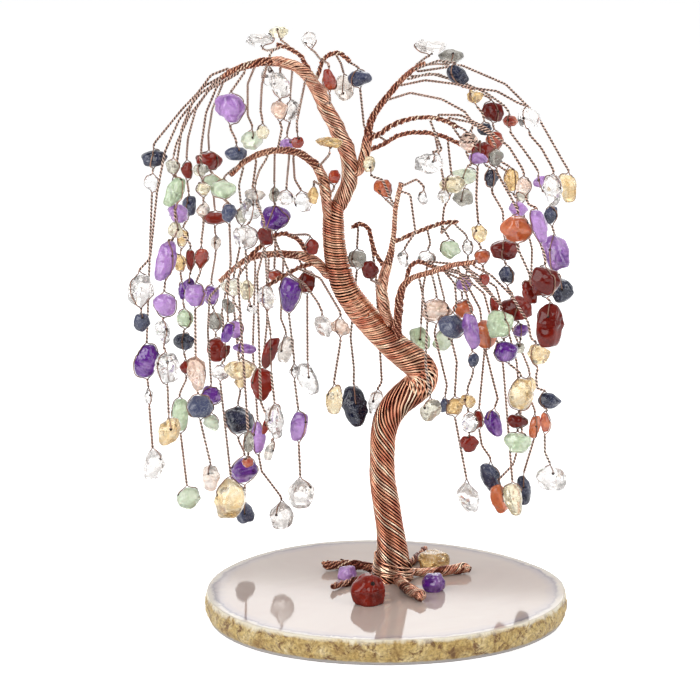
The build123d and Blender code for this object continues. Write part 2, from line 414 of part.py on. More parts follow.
def sight_line(across_share, up_share):
    """The eye's place and its line of sight to a place of the front view."""
    aim = Vector(eye_aim_across_share * span_share, 0, eye_aim_height)
    right = Vector((across_share - eye_aim_across_share) * span_share, 0, 0)
    rise = eye_upward * ((up_share - eye_aim_up_share) * span_share)
    return aim - eye_forward * eye_distance, eye_forward * eye_distance + right + rise


def seen_at(across_share, up_share, back_share):
    """The place that shows there in the front view and lies that far behind the middle."""
    eye, line = sight_line(across_share, up_share)
    return eye + line * ((back_share * span_share - eye.Y) / line.Y)


def seen_on(across_share, up_share, height):
    """The place that shows there in the front view and lies at that height."""
    eye, line = sight_line(across_share, up_share)
    return eye + line * ((height - eye.Z) / line.Z)


def blend_stations(stations, step):
    """The place and width on the smooth line through the stations, at a step between them."""
    index = min(int(step), len(stations) - 2)
    part = step - index
    near = [stations[min(max(index + shift, 0), len(stations) - 1)] for shift in (-1, 0, 1, 2)]
    weights = (
        part * (-1 + part * (2 - part)) / 2,
        1 + part * part * (3 * part - 5) / 2,
        part * (1 + part * (4 - 3 * part)) / 2,
        part * part * (part - 1) / 2,
    )
    place = Vector(0, 0, 0)
    for weight, (point, _) in zip(weights, near):
        place += point * weight
    return place, sum(weight * width for weight, (_, width) in zip(weights, near))


def seen_stations(rows):
    """The places and widths of a tube that the front view gives row by row."""
    return [(seen_at(*row[:3]), row[3] * span_share) for row in rows]


def nearest_on(stations, place):
    """The nearest place on a limb's line, its width and direction there, and if that is its end."""
    best = None
    for (start, width), (end, next_width) in zip(stations, stations[1:]):
        run = end - start
        share = min(max((place - start).dot(run) / run.dot(run), 0), 1)
        point = start + run * share
        gap = (place - point).length
        if best is None or gap < best[0]:
            at_end = share == 1 and end is stations[-1][0]
            best = (gap, point, width + (next_width - width) * share, run.normalized(), at_end)
    return best[1:]


def seat_on(stations, near, towards, lift):
    """Where something leaves a limb near one place towards another, and the way that it leaves."""
    point, width, along, at_end = nearest_on(stations, near)
    if at_end:
        return near - along * ((near - point).dot(along) - lift), along
    across = towards - point - along * (towards - point).dot(along)
    return point + across.normalized() * (width / 2 + lift), across.normalized()


def tubes(paths, sides, first_normal=None):
    """Loft flat-sided sections along each path of places and widths, and keep the tubes apart."""
    with BuildPart() as lofted:
        solids = []
        for stations in paths:
            sections = []
            for index, (place, width) in enumerate(stations):
                along = Vector(0, 0, 0)
                if index > 0:
                    along += (place - stations[index - 1][0]).normalized()
                if index < len(stations) - 1:
                    along += (stations[index + 1][0] - place).normalized()
                if index == 0 and first_normal:
                    along = first_normal
                along = along.normalized()
                if index == 0:
                    side = Vector(1, 0, 0) if abs(along.Y) > abs(along.X) else Vector(0, 1, 0)
                    side = (side - along * side.dot(along)).normalized()
                    side = side.rotate(Axis((0, 0, 0), along), section_roll)
                else:
                    turn_share = side.dot(along) / (1 + last_along.dot(along))
                    side = side - (last_along + along) * turn_share
                last_along = along
                with BuildSketch(Plane(place, x_dir=side, z_dir=along), mode=Mode.PRIVATE) as section:
                    RegularPolygon(width / 2, sides)
                sections.append(section.sketch)
            solids.append(loft(sections, ruled=True, mode=Mode.PRIVATE))
        add(solids)
    return lofted


def under_wires(width):
    """The width of a core that just fits inside the laid wires of a trunk this wide."""
    return (width - trunk_wire) * cos(pi / lay_steps_per_turn) - trunk_wire - 2 * wire_clearance


def lay_points(stations, wire_share):
    """The steep turns of one of the wires that are laid round a stretch of the trunk."""
    spans = [(after[0] - before[0]).length for before, after in zip(stations, stations[1:])]
    steps = round(sum(spans) / lay_length * lay_steps_per_turn)
    points = []
    for count in range(steps + 1):
        step, reach = 0, sum(spans) * count / steps
        while step < len(spans) - 1 and reach > spans[step]:
            reach -= spans[step]
            step += 1
        step += reach / spans[step]
        centre, width = blend_stations(stations, step)
        ahead, _ = blend_stations(stations, min(step + 0.5, len(stations) - 1))
        behind, _ = blend_stations(stations, max(step - 0.5, 0))
        along = (ahead - behind).normalized()
        back = (Vector(0, 1, 0) - along * along.Y).normalized()
        angle = 2 * pi * (wire_share - count / lay_steps_per_turn)
        radius = (width - trunk_wire) / 2
        points.append(centre + (back * cos(angle) + along.cross(back) * sin(angle)) * radius)
    return points


def stone_rings(place, width, height, turn, cap_share):
    """The three level outlines of a tumbled chip: its small top, its belly and its small bottom."""
    corners = []
    for across_share, back_share in chip_corner_shares:
        across = across_share * cos(radians(turn)) - back_share * sin(radians(turn))
        back = across_share * sin(radians(turn)) + back_share * cos(radians(turn))
        corners.append((across, back))
    reach = max(abs(across) for across, _ in corners)
    half = width / 2 / reach
    rings = []
    for level_share, size_share in ((0.5, cap_share), (chip_belly_share, 1), (-0.5, cap_share)):
        middle = place + Vector(0, 0, level_share * height)
        scale = half * size_share
        rings.append([
            middle + Vector(across * scale, back * scale * chip_thickness_share, 0)
            for across, back in corners
        ])
    return rings


def faceted_stone(place, width, height, turn, cap_share):
    """A tumbled chip with flat facets."""
    rings = stone_rings(place, width, height, turn, cap_share)
    faces = [Face(Wire.make_polygon(ring)) for ring in (rings[0], rings[-1])]
    for high, low in zip(rings, rings[1:]):
        for index in range(len(high)):
            facet = [high[index - 1], high[index], low[index], low[index - 1]]
            faces.append(Face(Wire.make_polygon(facet)))
    return Solid(Shell(faces))


def wire_end(end, towards, away):
    """A wire's end at a chip's flat cap: a short upright neck where a long run slants."""
    run = towards - end
    lean = (1 - (run.Z / run.length) ** 2) ** 0.5
    if lean > neck_lean_share and run.Z * away > neck_room * neck_length:
        return [end, end + Vector(0, 0, away * neck_length)]
    return [end + Vector(0, 0, away * lean * twig_wire / 2)]


def twig_and_chips(stations, row):
    """The straight runs of one twig's wire, and the chips that it carries."""
    end_back, first, *stops = row
    start_back = 0
    for _ in range(seat_passes):
        seat = seen_at(*first, start_back)
        start_back = nearest_on(stations, seat)[0].Y / span_share
    lengths = [0]
    for before, after in zip(row[1:], row[2:]):
        lengths.append(lengths[-1] + ((after[0] - before[0]) ** 2 + (after[1] - before[1]) ** 2) ** 0.5)
    places = []
    for stop, length in zip(stops, lengths[1:]):
        left_share = 1 - length / lengths[-1]
        places.append(seen_at(stop[0], stop[1], end_back + (start_back - end_back) * left_share ** 2))
    start, _ = seat_on(stations, seat, places[0], twig_wire / 2 + limb_clearance)
    runs, chips, run = [], [], [start]
    for stop, place in zip(stops, places):
        if len(stop) == 2:
            run.append(place)
            continue
        stone, width, height = stop[2], span_share * stop[3], span_share * stop[4]
        upright = 1 if run[-1].Z > place.Z else -1
        reach = Vector(0, 0, upright * (height / 2 + chip_clearance))
        run += reversed(wire_end(place + reach, run[-1], upright))
        if chips:
            run[:1] = wire_end(run[0], run[1], leaving)
        runs.append(run)
        chips.append((stone, place, width, height))
        run, leaving = [place - reach], -upright
    if len(run) > 1:
        run[:1] = wire_end(run[0], run[1], leaving)
        runs.append(run)
    return runs, chips


os.makedirs("parts", exist_ok=True)


def keep(piece, name):
    """Label a finished piece and write it."""
    piece.part.label = name
    export_step(piece.part, "parts/" + name + ".step")


# The slice of agate: its edge bulges between a smaller foot and a smaller polished face
slice_levels = ((0, rind_inset), (slice_thickness / 2, 0), (slice_thickness, polish_inset))
with BuildPart() as agate_slice:
    for level, inset in slice_levels:
        edge = []
        for index, edge_share in enumerate(slice_edge_shares):
            angle = 2 * pi * index / len(slice_edge_shares)
            across = (edge_share * slice_width / 2 - inset) * cos(angle)
            edge.append((across, (edge_share * slice_depth / 2 - inset) * sin(angle)))
        with BuildSketch(Plane.XY.offset(level)):
            with BuildLine():
                Spline(*edge, periodic=True)
            make_face()
    loft(ruled=True)
keep(agate_slice, "agate_slice")

# The trunk's line, with its foot on the glue
foot_row = trunk_lower_shares[0]
foot = seen_on(foot_row[0], foot_row[1], slice_thickness + glue_thickness)
foot_width = foot_row[3] * span_share
lower_stations = [(foot, foot_width)] + seen_stations(trunk_lower_shares[1:])
elbow_stations = seen_stations(trunk_elbow_shares)
upper_stations = seen_stations(trunk_upper_shares)
trunk_stations = lower_stations + elbow_stations + upper_stations

with BuildPart() as foot_glue:
    with BuildSketch(Plane(foot - Vector(0, 0, glue_thickness))):
        RegularPolygon(foot_width / 2 - trunk_wire, trunk_sides)
    extrude(amount=glue_thickness)
keep(foot_glue, "foot_glue")

# The core fills the trunk at the sharp bend and leaves room for the laid wires elsewhere
core_stations = []
for place, width in trunk_stations:
    in_bend = any(place is bend_place for bend_place, _ in elbow_stations)
    core_stations.append((place, width if in_bend else under_wires(width)))
keep(tubes([core_stations], trunk_sides, Vector(0, 0, 1)), "trunk_core")

# The laid wires stop short of the glue below and of the stem above
first_place, first_width = lower_stations[0]
last_place, last_width = upper_stations[-1]
lower_lay = [(first_place + Vector(0, 0, 2 * trunk_wire), first_width)] + lower_stations[1:]
upper_lay = upper_stations[:-1] + [(last_place - Vector(0, 0, trunk_wire), last_width)]
for name, stations in (("trunk_lower_wires", lower_lay), ("trunk_upper_wires", upper_lay)):
    laid = []
    for index in range(trunk_wire_count):
        points = lay_points(stations, index / trunk_wire_count)
        laid.append([(point, trunk_wire) for point in points])
    keep(tubes(laid, twig_sides), name)

# The roots lie on the slice and butt against the trunk
for name, rows in root_shares.items():
    stations = []
    for across_share, up_share, width_share in rows:
        width = width_share * span_share
        stations.append((seen_on(across_share, up_share, slice_thickness + root_lift + width / 2), width))
    start, normal = seat_on(trunk_stations, stations[0][0], stations[0][0], trunk_clearance)
    start.Z = stations[0][0].Z
    stations[0] = (start, stations[0][1])
    keep(tubes([stations], root_sides, normal), name)

# The limbs grow from the trunk and from each other
grown = {"trunk": trunk_stations}
for name, rows in limb_shares.items():
    stations = seen_stations(rows)
    parent = limb_parents[name]
    clearance = trunk_clearance if parent == "trunk" else limb_clearance
    start, normal = seat_on(grown[parent], stations[0][0], stations[0][0], clearance)
    stations[0] = (start, stations[0][1])
    grown[name] = stations
    keep(tubes([stations], limb_sides, normal), name)

# The twigs hang from the limbs and carry the chips
chips_of = {stone: [] for stone in stones}
for limb_name, rows in twig_shares.items():
    twig_paths = []
    for row in rows:
        runs, chips = twig_and_chips(grown[limb_name], row)
        twig_paths += [[(point, twig_wire) for point in run] for run in runs]
        for stone, place, width, height in chips:
            chips_of[stone].append((place, width, height))
    keep(tubes(twig_paths, twig_sides), limb_name + "_twigs")

for stone, chips in chips_of.items():
    with BuildPart() as hung_chips:
        add([
            faceted_stone(place, width, height, index * chip_turn_step, chip_cap_share)
            for index, (place, width, height) in enumerate(chips)
        ])
    keep(hung_chips, stone + "_chips")

# The four chips glued round the foot
for name, across_share, up_share, stone, width_share, height_share in base_chip_shares:
    height = height_share * span_share
    place = seen_on(across_share, up_share, slice_thickness + height / 2)
    with BuildPart() as base_chip:
        add(faceted_stone(place, width_share * span_share, height, chip_turn_step, base_cap_share))
    keep(base_chip, name)
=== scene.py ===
import bpy
import bmesh
import heapq
import math
import numpy as np
from mathutils import Matrix, Vector, noise


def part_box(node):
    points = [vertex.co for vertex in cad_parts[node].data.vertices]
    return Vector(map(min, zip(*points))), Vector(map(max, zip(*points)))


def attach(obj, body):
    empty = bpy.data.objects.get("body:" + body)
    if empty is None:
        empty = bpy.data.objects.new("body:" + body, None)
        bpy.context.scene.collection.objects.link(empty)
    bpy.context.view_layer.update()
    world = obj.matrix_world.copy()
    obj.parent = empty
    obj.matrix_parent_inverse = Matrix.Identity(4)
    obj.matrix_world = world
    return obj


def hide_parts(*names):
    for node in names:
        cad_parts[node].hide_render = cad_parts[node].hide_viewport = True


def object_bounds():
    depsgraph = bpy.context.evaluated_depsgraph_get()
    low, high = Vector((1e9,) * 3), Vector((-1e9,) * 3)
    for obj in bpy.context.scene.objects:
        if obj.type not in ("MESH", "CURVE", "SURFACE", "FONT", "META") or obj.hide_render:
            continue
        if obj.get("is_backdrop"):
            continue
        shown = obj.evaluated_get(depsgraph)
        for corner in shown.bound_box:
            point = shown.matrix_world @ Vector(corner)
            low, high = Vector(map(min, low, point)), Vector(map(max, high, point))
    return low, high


# The looks of the gemstone tree: real wires laid round the CAD trunk, limbs, roots and twigs,
# tumbled stones in place of the faceted chips, and the agate slice. Metres, +Z up, front at -Y.

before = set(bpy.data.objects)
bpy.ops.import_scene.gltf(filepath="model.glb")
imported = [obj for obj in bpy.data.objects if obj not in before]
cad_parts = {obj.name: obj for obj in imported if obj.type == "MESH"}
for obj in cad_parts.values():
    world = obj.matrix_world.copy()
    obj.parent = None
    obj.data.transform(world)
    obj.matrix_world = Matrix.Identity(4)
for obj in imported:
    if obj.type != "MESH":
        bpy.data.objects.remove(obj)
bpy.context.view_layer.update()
rng = np.random.default_rng(11)
MM = 0.001

# The eye, as in the CAD source; what it aims at is in hundredths of the view's span
view_span = 177.8 * MM
eye_distance = 800.0 * MM
eye_aim_height = 76.4 * MM
eye_tilt = math.radians(12.0)
eye_aim_across = -5.5
eye_aim_up = 50.1
eye_lens = 146.9

# The trunk's line and width: across, up, back, width, in hundredths of the view's span
trunk_rows = (
    (1.3, 13.6, 4.6, 6.6), (1.2, 15.6, 4.6, 6.0), (1.2, 18.1, 4.6, 5.3), (0.8, 22.0, 4.7, 4.6),
    (0.2, 26.0, 4.7, 4.5), (-0.4, 30.0, 4.6, 4.3), (-0.4, 34.0, 4.5, 4.2),
    (-0.2, 37.0, 4.4, 4.3), (0.5, 39.6, 4.2, 4.6), (2.0, 41.8, 4.0, 4.8),
    (3.9, 43.4, 3.8, 5.0), (5.5, 44.8, 3.6, 5.1), (6.0, 46.3, 3.5, 5.1), (5.3, 47.6, 3.4, 5.0),
    (3.8, 48.9, 3.3, 4.9), (1.9, 50.4, 3.2, 4.7), (0.1, 52.1, 3.1, 4.6),
    (-1.8, 54.0, 3.0, 4.5), (-3.6, 56.0, 2.8, 4.3), (-5.2, 58.1, 2.6, 4.1),
    (-6.5, 60.3, 2.5, 4.0), (-7.2, 62.6, 2.4, 3.9), (-7.8, 65.4, 2.3, 3.7),
    (-8.1, 68.4, 2.2, 3.5), (-8.1, 71.2, 2.0, 3.3), (-7.9, 72.6, 2.0, 2.7), (-7.6, 73.4, 2.0, 1.7),
)

slice_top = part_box("agate_slice")[1][2]

# How thick the wires are, and how far apart the turns of a twisted pair
trunk_wire = 0.7 * MM
limb_wire = 0.6 * MM
root_wire = 0.5 * MM
twig_wire = 0.41 * MM
loop_wire = 0.34 * MM
twig_pitch = 2.0 * MM

# The even steps along their lines
trunk_step = 0.35 * MM
limb_step = 0.3 * MM
root_step = 0.25 * MM
twig_step = 0.22 * MM
loop_step = 0.25 * MM

STONES = (
    "amethyst", "citrine", "red_jasper", "carnelian", "sodalite",
    "green_aventurine", "clear_quartz", "rose_quartz", "smoky_quartz",
)
LIMBS = (
    "stem_limb", "crown_limb", "crown_spray", "crown_right_limb", "left_middle_limb",
    "lower_left_limb", "lower_left_arch", "lower_left_twist", "right_stem",
    "right_front_limb", "right_back_limb", "inner_limb", "inner_arch", "inner_branch",
    "right_lower_limb", "right_lower_arch",
)
ROOTS = ("root_left_back", "root_left_front", "root_front_right", "root_right", "root_right_back")


# Reading the frame
def islands(node_name):
    """The separate solids of a CAD node: each one's corners and triangles."""
    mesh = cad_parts[node_name].data
    places, of_vertex = {}, []
    for vertex in mesh.vertices:
        key = tuple(round(value, 6) for value in vertex.co)
        of_vertex.append(places.setdefault(key, len(places)))
    points = np.array(list(places))
    parent = list(range(len(points)))

    def root(i):
        while parent[i] != i:
            parent[i] = parent[parent[i]]
            i = parent[i]
        return i

    triangles = [[of_vertex[i] for i in p.vertices] for p in mesh.polygons]
    triangles = [t for t in triangles if len(set(t)) == 3]
    for a, b, c in triangles:
        parent[root(a)] = root(b)
        parent[root(b)] = root(c)
    groups = {}
    for t in triangles:
        groups.setdefault(root(t[0]), []).append(t)
    found = []
    for group in groups.values():
        used = sorted({i for t in group for i in t})
        index = {old: new for new, old in enumerate(used)}
        found.append((points[used], np.array([[index[i] for i in t] for t in group])))
    return found


def distances(points, edges, source):
    """How far each corner lies from one corner, along the edges."""
    near = [[] for _ in points]
    for a, b in edges:
        length = float(np.linalg.norm(points[a] - points[b]))
        near[a].append((b, length))
        near[b].append((a, length))
    far = np.full(len(points), np.inf)
    far[source] = 0
    queue = [(0.0, source)]
    while queue:
        reach, i = heapq.heappop(queue)
        if reach > far[i]:
            continue
        for j, length in near[i]:
            if reach + length < far[j] - 1e-12:
                far[j] = reach + length
                heapq.heappush(queue, (reach + length, j))
    return far


def sections(points, edges, height, levels):
    """The middles and radii of the cuts through a tube at the levels of a height."""
    a, b = edges[:, 0], edges[:, 1]
    middles, rings = [], []
    for level in levels:
        crossing = (height[a] - level) * (height[b] - level) < 0
        if crossing.sum() < 3:
            continue
        start, end = a[crossing], b[crossing]
        part = ((level - height[start]) / (height[end] - height[start]))[:, None]
        ring = points[start] * (1 - part) + points[end] * part
        box_middle = (ring.max(0) + ring.min(0)) / 2
        middles.append(box_middle * 0.3 + ring.mean(0) * 0.7)
        rings.append(ring)
    middles = np.array(middles)
    along = np.gradient(middles, axis=0)
    along /= np.linalg.norm(along, axis=1)[:, None]
    radii = []
    for middle, direction, ring in zip(middles, along, rings):
        out = ring - middle
        out -= (out @ direction)[:, None] * direction
        radii.append(np.linalg.norm(out, axis=1).mean())
    return middles, np.array(radii)


def along_line(line, points):
    """How far along a line the nearest place to each point lies."""
    starts, runs = line[:-1], np.diff(line, axis=0)
    lengths = np.linalg.norm(runs, axis=1)
    begins = np.concatenate([[0], np.cumsum(lengths)[:-1]])
    found = np.zeros(len(points))
    for i, point in enumerate(points):
        share = ((point - starts) * runs).sum(1) / lengths ** 2
        low = np.where(np.arange(len(runs)) == 0, -np.inf, 0.0)
        high = np.where(np.arange(len(runs)) == len(runs) - 1, np.inf, 1.0)
        share = np.clip(share, low, high)
        gap = np.linalg.norm(starts + runs * share[:, None] - point, axis=1)
        best = int(gap.argmin())
        found[i] = begins[best] + share[best] * lengths[best]
    return found


def centreline(points, triangles, step):
    """The middle line of a tube and its radius along it, found from its mesh."""
    sides = np.concatenate([triangles[:, [0, 1]], triangles[:, [1, 2]], triangles[:, [2, 0]]])
    edges = np.unique(np.sort(sides, axis=1), axis=0)
    first = int(distances(points, edges, 0).argmax())
    from_first = distances(points, edges, first)
    last = int(from_first.argmax())
    height = (from_first - distances(points, edges, last)) / 2
    for attempt in range(2):
        low, high = height.min(), height.max()
        margin = (high - low) * 0.04
        count = max(4, int((high - low) / step))
        levels = np.linspace(low + margin, high - margin, count)
        middles, radii = sections(points, edges, height, levels)
        if attempt == 0:
            height = along_line(middles, points)
    tips = []
    for end, before in ((middles[0], middles[1]), (middles[-1], middles[-2])):
        onward = end - before
        onward /= np.linalg.norm(onward)
        run = max(0.0, float(((points - end) @ onward).max()))
        tips.append(end + onward * (margin if run > 6 * step else run))
    line = np.vstack([tips[0], middles, tips[1]])
    return line, np.concatenate([radii[:1], radii, radii[-1:]])


def resample(line, values, step, smooth):
    """The line and its values at even steps, smoothed a few times."""
    reach = np.concatenate([[0], np.cumsum(np.linalg.norm(np.diff(line, axis=0), axis=1))])
    count = max(4, int(round(reach[-1] / step)) + 1)
    at = np.linspace(0, reach[-1], count)
    new = np.stack([np.interp(at, reach, line[:, i]) for i in range(3)], axis=1)
    value = np.interp(at, reach, values)
    for _ in range(smooth):
        new[1:-1] = (new[:-2] + 2 * new[1:-1] + new[2:]) / 4
        value[1:-1] = (value[:-2] + 2 * value[1:-1] + value[2:]) / 4
    return new, value


def evened(path, step, smooth):
    """A path at even steps, smoothed a few times."""
    return resample(np.array(path), np.zeros(len(path)), step, smooth)[0]


# Wires as tubes
def frames(line, soften=0):
    """Directions along a line and two more across it, carried without twist."""
    along = np.gradient(line, axis=0)
    along /= np.linalg.norm(along, axis=1)[:, None]
    for _ in range(soften):
        along[1:-1] = (along[:-2] + along[1:-1] * 2 + along[2:]) / 4
        along /= np.linalg.norm(along, axis=1)[:, None]
    side = np.zeros_like(line)
    first = np.array([1.0, 0, 0]) if abs(along[0][0]) < 0.8 else np.array([0, 1.0, 0])
    side[0] = first - along[0] * (first @ along[0])
    side[0] /= np.linalg.norm(side[0])
    for i in range(1, len(line)):
        carried = side[i - 1] - along[i] * (side[i - 1] @ along[i])
        side[i] = carried / np.linalg.norm(carried)
    return along, side, np.cross(along, side)


def across(side, up, angle):
    """The directions at an angle across a line."""
    return side * np.cos(angle)[:, None] + up * np.sin(angle)[:, None]


def ring_faces(count, sides):
    """The faces of a stack of rings, closed at both ends."""
    i = np.arange(count - 1)[:, None] * sides
    j = np.arange(sides)[None, :]
    k = (j + 1) % sides
    faces = np.stack([i + j, i + k, i + sides + k, i + sides + j], axis=2).reshape(-1, 4).tolist()
    return faces + [list(range(sides))[::-1], [(count - 1) * sides + s for s in range(sides)]]


def tube(line, radius, sides):
    """The corners and faces of a round tube along a line, closed at both ends."""
    _, side, up = frames(line)
    angle = np.linspace(0, 2 * math.pi, sides, endpoint=False)[None, :, None]
    radius = np.broadcast_to(radius, len(line))[:, None, None]
    ring = side[:, None, :] * np.cos(angle) + up[:, None, :] * np.sin(angle)
    return (line[:, None, :] + ring * radius).reshape(-1, 3), ring_faces(len(line), sides)


def placed(name, data):
    """A new object in the scene."""
    obj = bpy.data.objects.new(name, data)
    bpy.context.scene.collection.objects.link(obj)
    return obj


def build(name, parts, material, stands_for=()):
    """One object from many parts: corners, faces, a tone and an amount of painted shade, the last two
    going to the material.
    """
    all_points, all_faces, shades, groove_shades, base = [], [], [], [], 0
    for points, faces, shade, *groove_shade in parts:
        all_points.append(points)
        all_faces += [[base + i for i in face] for face in faces]
        shades.append(np.broadcast_to(shade, len(points)))
        # How much painted shade each corner gets; none where a part gives none.
        groove_shades.append(np.broadcast_to(groove_shade[0] if groove_shade else 0.0, len(points)))
        base += len(points)
    mesh = bpy.data.meshes.new(name)
    mesh.from_pydata(np.concatenate(all_points).tolist(), [], all_faces)
    mesh.polygons.foreach_set("use_smooth", [True] * len(mesh.polygons))
    for key, values in (("shade", shades), ("groove_shade", groove_shades)):
        layer = mesh.attributes.new(key, "FLOAT", "POINT")
        layer.data.foreach_set("value", np.concatenate(values).astype(np.float32))
    mesh.update()
    mesh.materials.append(material)
    obj = placed(name, mesh)
    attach(obj, "root")
    if stands_for:
        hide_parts(*stands_for)


def drift(count, seed, size, rough):
    """A slow random wave along a wire."""
    at = np.arange(count) * rough
    return np.array([noise.noise(Vector((t, seed * 7.31, 3.7))) for t in at]) * size


def groove_shade_of(points, path, sides, size, outward):
    """How much painted shade each corner gets, from 0 to 1, the more the deeper it lies beside its wire
    or between two strands.
    """
    off = points.reshape(len(path), sides, 3) - path[:, None, :]
    if outward is None:
        deep = (0.75 - np.linalg.norm(off, axis=2) / size) * 2.4
    else:
        deep = (0.86 - (off * outward[:, None, :]).sum(2) / size) * 1.9
    return np.clip(deep, 0, 1).reshape(-1)


def twisted_pair(path, pair, sides, outward):
    """Two strands twisted together along a path, from the pair's width."""
    strand_out, strand_radius, pair_edge = pair * 0.23, pair * 0.25, pair * 0.48
    _, side, up = frames(path)
    twist = 2 * math.pi * np.arange(len(path)) * np.linalg.norm(path[1] - path[0]) / twig_pitch
    tone = rng.random()
    parts = []
    for half in (0, math.pi):
        strand = path + across(side, up, half - twist) * strand_out
        points, faces = tube(strand, strand_radius, sides)
        # Painted shade between the two strands, and a little less on the side that faces the middle of
        # the bundle.
        between = groove_shade_of(points, path, sides, pair_edge, None)
        inward = groove_shade_of(points, path, sides, pair_edge, outward)
        parts.append((points, faces, tone, np.maximum(between, inward * 0.7)))
    return parts


def laid_wires(line, radius, wire, lay, count, sides=10, wander=0.25, lift=0.12, soften=0,
               start_angle=0.0, pair=False):
    """Wires or twisted pairs wound side by side round a line; lay is their angle from it."""
    _, side, up = frames(line, soften)
    step = np.concatenate([[0], np.linalg.norm(np.diff(line, axis=0), axis=1)])
    seat = np.maximum(radius - wire / 2, wire / 2)
    turn = np.cumsum(-np.tan(lay) / seat * step)
    spacing = 2 * math.pi / count
    parts = []
    for k in range(count):
        seed = float(rng.random() * 90)
        angle = start_angle + k * spacing + turn + drift(len(line), seed, wander * spacing, 0.11)
        out = seat + drift(len(line), seed + 30, lift * wire, 0.16)
        outward = across(side, up, angle)
        path = line + outward * out[:, None]
        if pair:
            parts += twisted_pair(path, wire, sides, outward)
        else:
            points, faces = tube(path, wire / 2 * rng.uniform(0.92, 1.06), sides)
            # Painted shade on each wire's flanks and on its side towards the middle it is wound round.
            groove_shade = groove_shade_of(points, path, sides, wire / 2, outward)
            parts.append((points, faces, rng.random(), groove_shade))
    return parts


def wires_round(radius, wire, lay):
    """How many wires lie side by side round a tube, with a little room between."""
    return max(2, int(round(2 * math.pi * (radius - wire / 2) * math.cos(lay) / (wire * 1.04))))


# Materials
def new_material(name):
    """A material with its node tree and its shader."""
    material = bpy.data.materials.new(name)
    material.use_nodes = True
    return material, material.node_tree, material.node_tree.nodes["Principled BSDF"]


def set_inputs(made, **values):
    """Numbers and colours on a node's own sockets."""
    for key, value in values.items():
        made.inputs[key.replace("_", " ")].default_value = value


def node(tree, kind, **values):
    """A new node with its input values set."""
    made = tree.nodes.new(kind)
    set_inputs(made, **values)
    return made


def attribute(tree, name):
    """A value that the mesh carries at its corners."""
    made = node(tree, "ShaderNodeAttribute")
    made.attribute_name = name
    return made.outputs["Fac"]


def put(tree, socket, value):
    """A socket's value linked to an input, or a colour or a number set there."""
    if isinstance(value, bpy.types.NodeSocket):
        tree.links.new(value, socket)
    else:
        socket.default_value = (*value, 1) if isinstance(value, tuple) else value


def maths(tree, operation, *values):
    """Values put through one operation, each a socket or a number."""
    made = node(tree, "ShaderNodeMath")
    made.operation = operation
    for socket, value in zip(made.inputs, values):
        put(tree, socket, value)
    return made.outputs[0]


def ramp(tree, source, stops):
    """A colour ramp on a value, from stops of (place, colour or grey level)."""
    made = node(tree, "ShaderNodeValToRGB")
    while len(made.color_ramp.elements) < len(stops):
        made.color_ramp.elements.new(0.5)
    for element, (place, colour) in zip(made.color_ramp.elements, stops):
        element.position = place
        element.color = (*(colour if isinstance(colour, tuple) else (colour,) * 3), 1)
    tree.links.new(source, made.inputs[0])
    return made.outputs[0]


def mix(tree, factor, a, b, blend="MIX"):
    """Two colours mixed by a value or a number."""
    made = node(tree, "ShaderNodeMix")
    made.data_type = "RGBA"
    made.blend_type = blend
    for index, value in ((0, factor), (6, a), (7, b)):
        put(tree, made.inputs[index], value)
    return made.outputs[2]


def place_of(tree):
    """The object's own coordinates."""
    return node(tree, "ShaderNodeTexCoord").outputs["Object"]


def noise_of(tree, place, scale, detail=3.0, rough=0.55, distortion=0.0):
    """A noise value at a scale, in features per metre."""
    made = node(tree, "ShaderNodeTexNoise", Scale=scale, Detail=detail, Roughness=rough,
                Distortion=distortion)
    tree.links.new(place, made.inputs["Vector"])
    return made.outputs[0]


def bump(tree, shader, value, strength, distance):
    """A bump from a value on the shader's normal."""
    made = node(tree, "ShaderNodeBump", Strength=strength, Distance=distance)
    tree.links.new(value, made.inputs["Height"])
    tree.links.new(made.outputs[0], shader.inputs["Normal"])


def copper_material(name, dark, mid, bright, gold, rough, metal, groove_shade_from, groove_shade_level=0.2):
    """Drawn copper wire: each wire has its own tone, with a brown patina in patches, and painted shade
    in the hollows beside and between the wires.
    """
    material, tree, shader = new_material(name)
    place = place_of(tree)
    tone = ramp(tree, attribute(tree, "shade"), ((0.0, mid), (0.75, bright), (1.0, gold)))
    worn = ramp(tree, noise_of(tree, place, 260, 2.0), ((0.45, 0), (0.75, 0.8)))
    # Painted shade: corners that lie deep beside or between wires are darkened to a dim share of the
    # patina colour.
    deep = ramp(tree, attribute(tree, "groove_shade"), ((groove_shade_from, 0), (groove_shade_from + 0.35, 0.97)))
    groove_shade_colour = tuple(value * groove_shade_level for value in dark)
    tree.links.new(mix(tree, deep, mix(tree, worn, tone, dark), groove_shade_colour), shader.inputs["Base Color"])
    fine = noise_of(tree, place, 5200, 2.0)
    dull = ramp(tree, fine, ((0.3, rough - 0.05), (0.8, rough + 0.12)))
    tree.links.new(dull, shader.inputs["Roughness"])
    set_inputs(shader, Metallic=metal)
    bump(tree, shader, fine, 0.08, 0.00005)
    return material


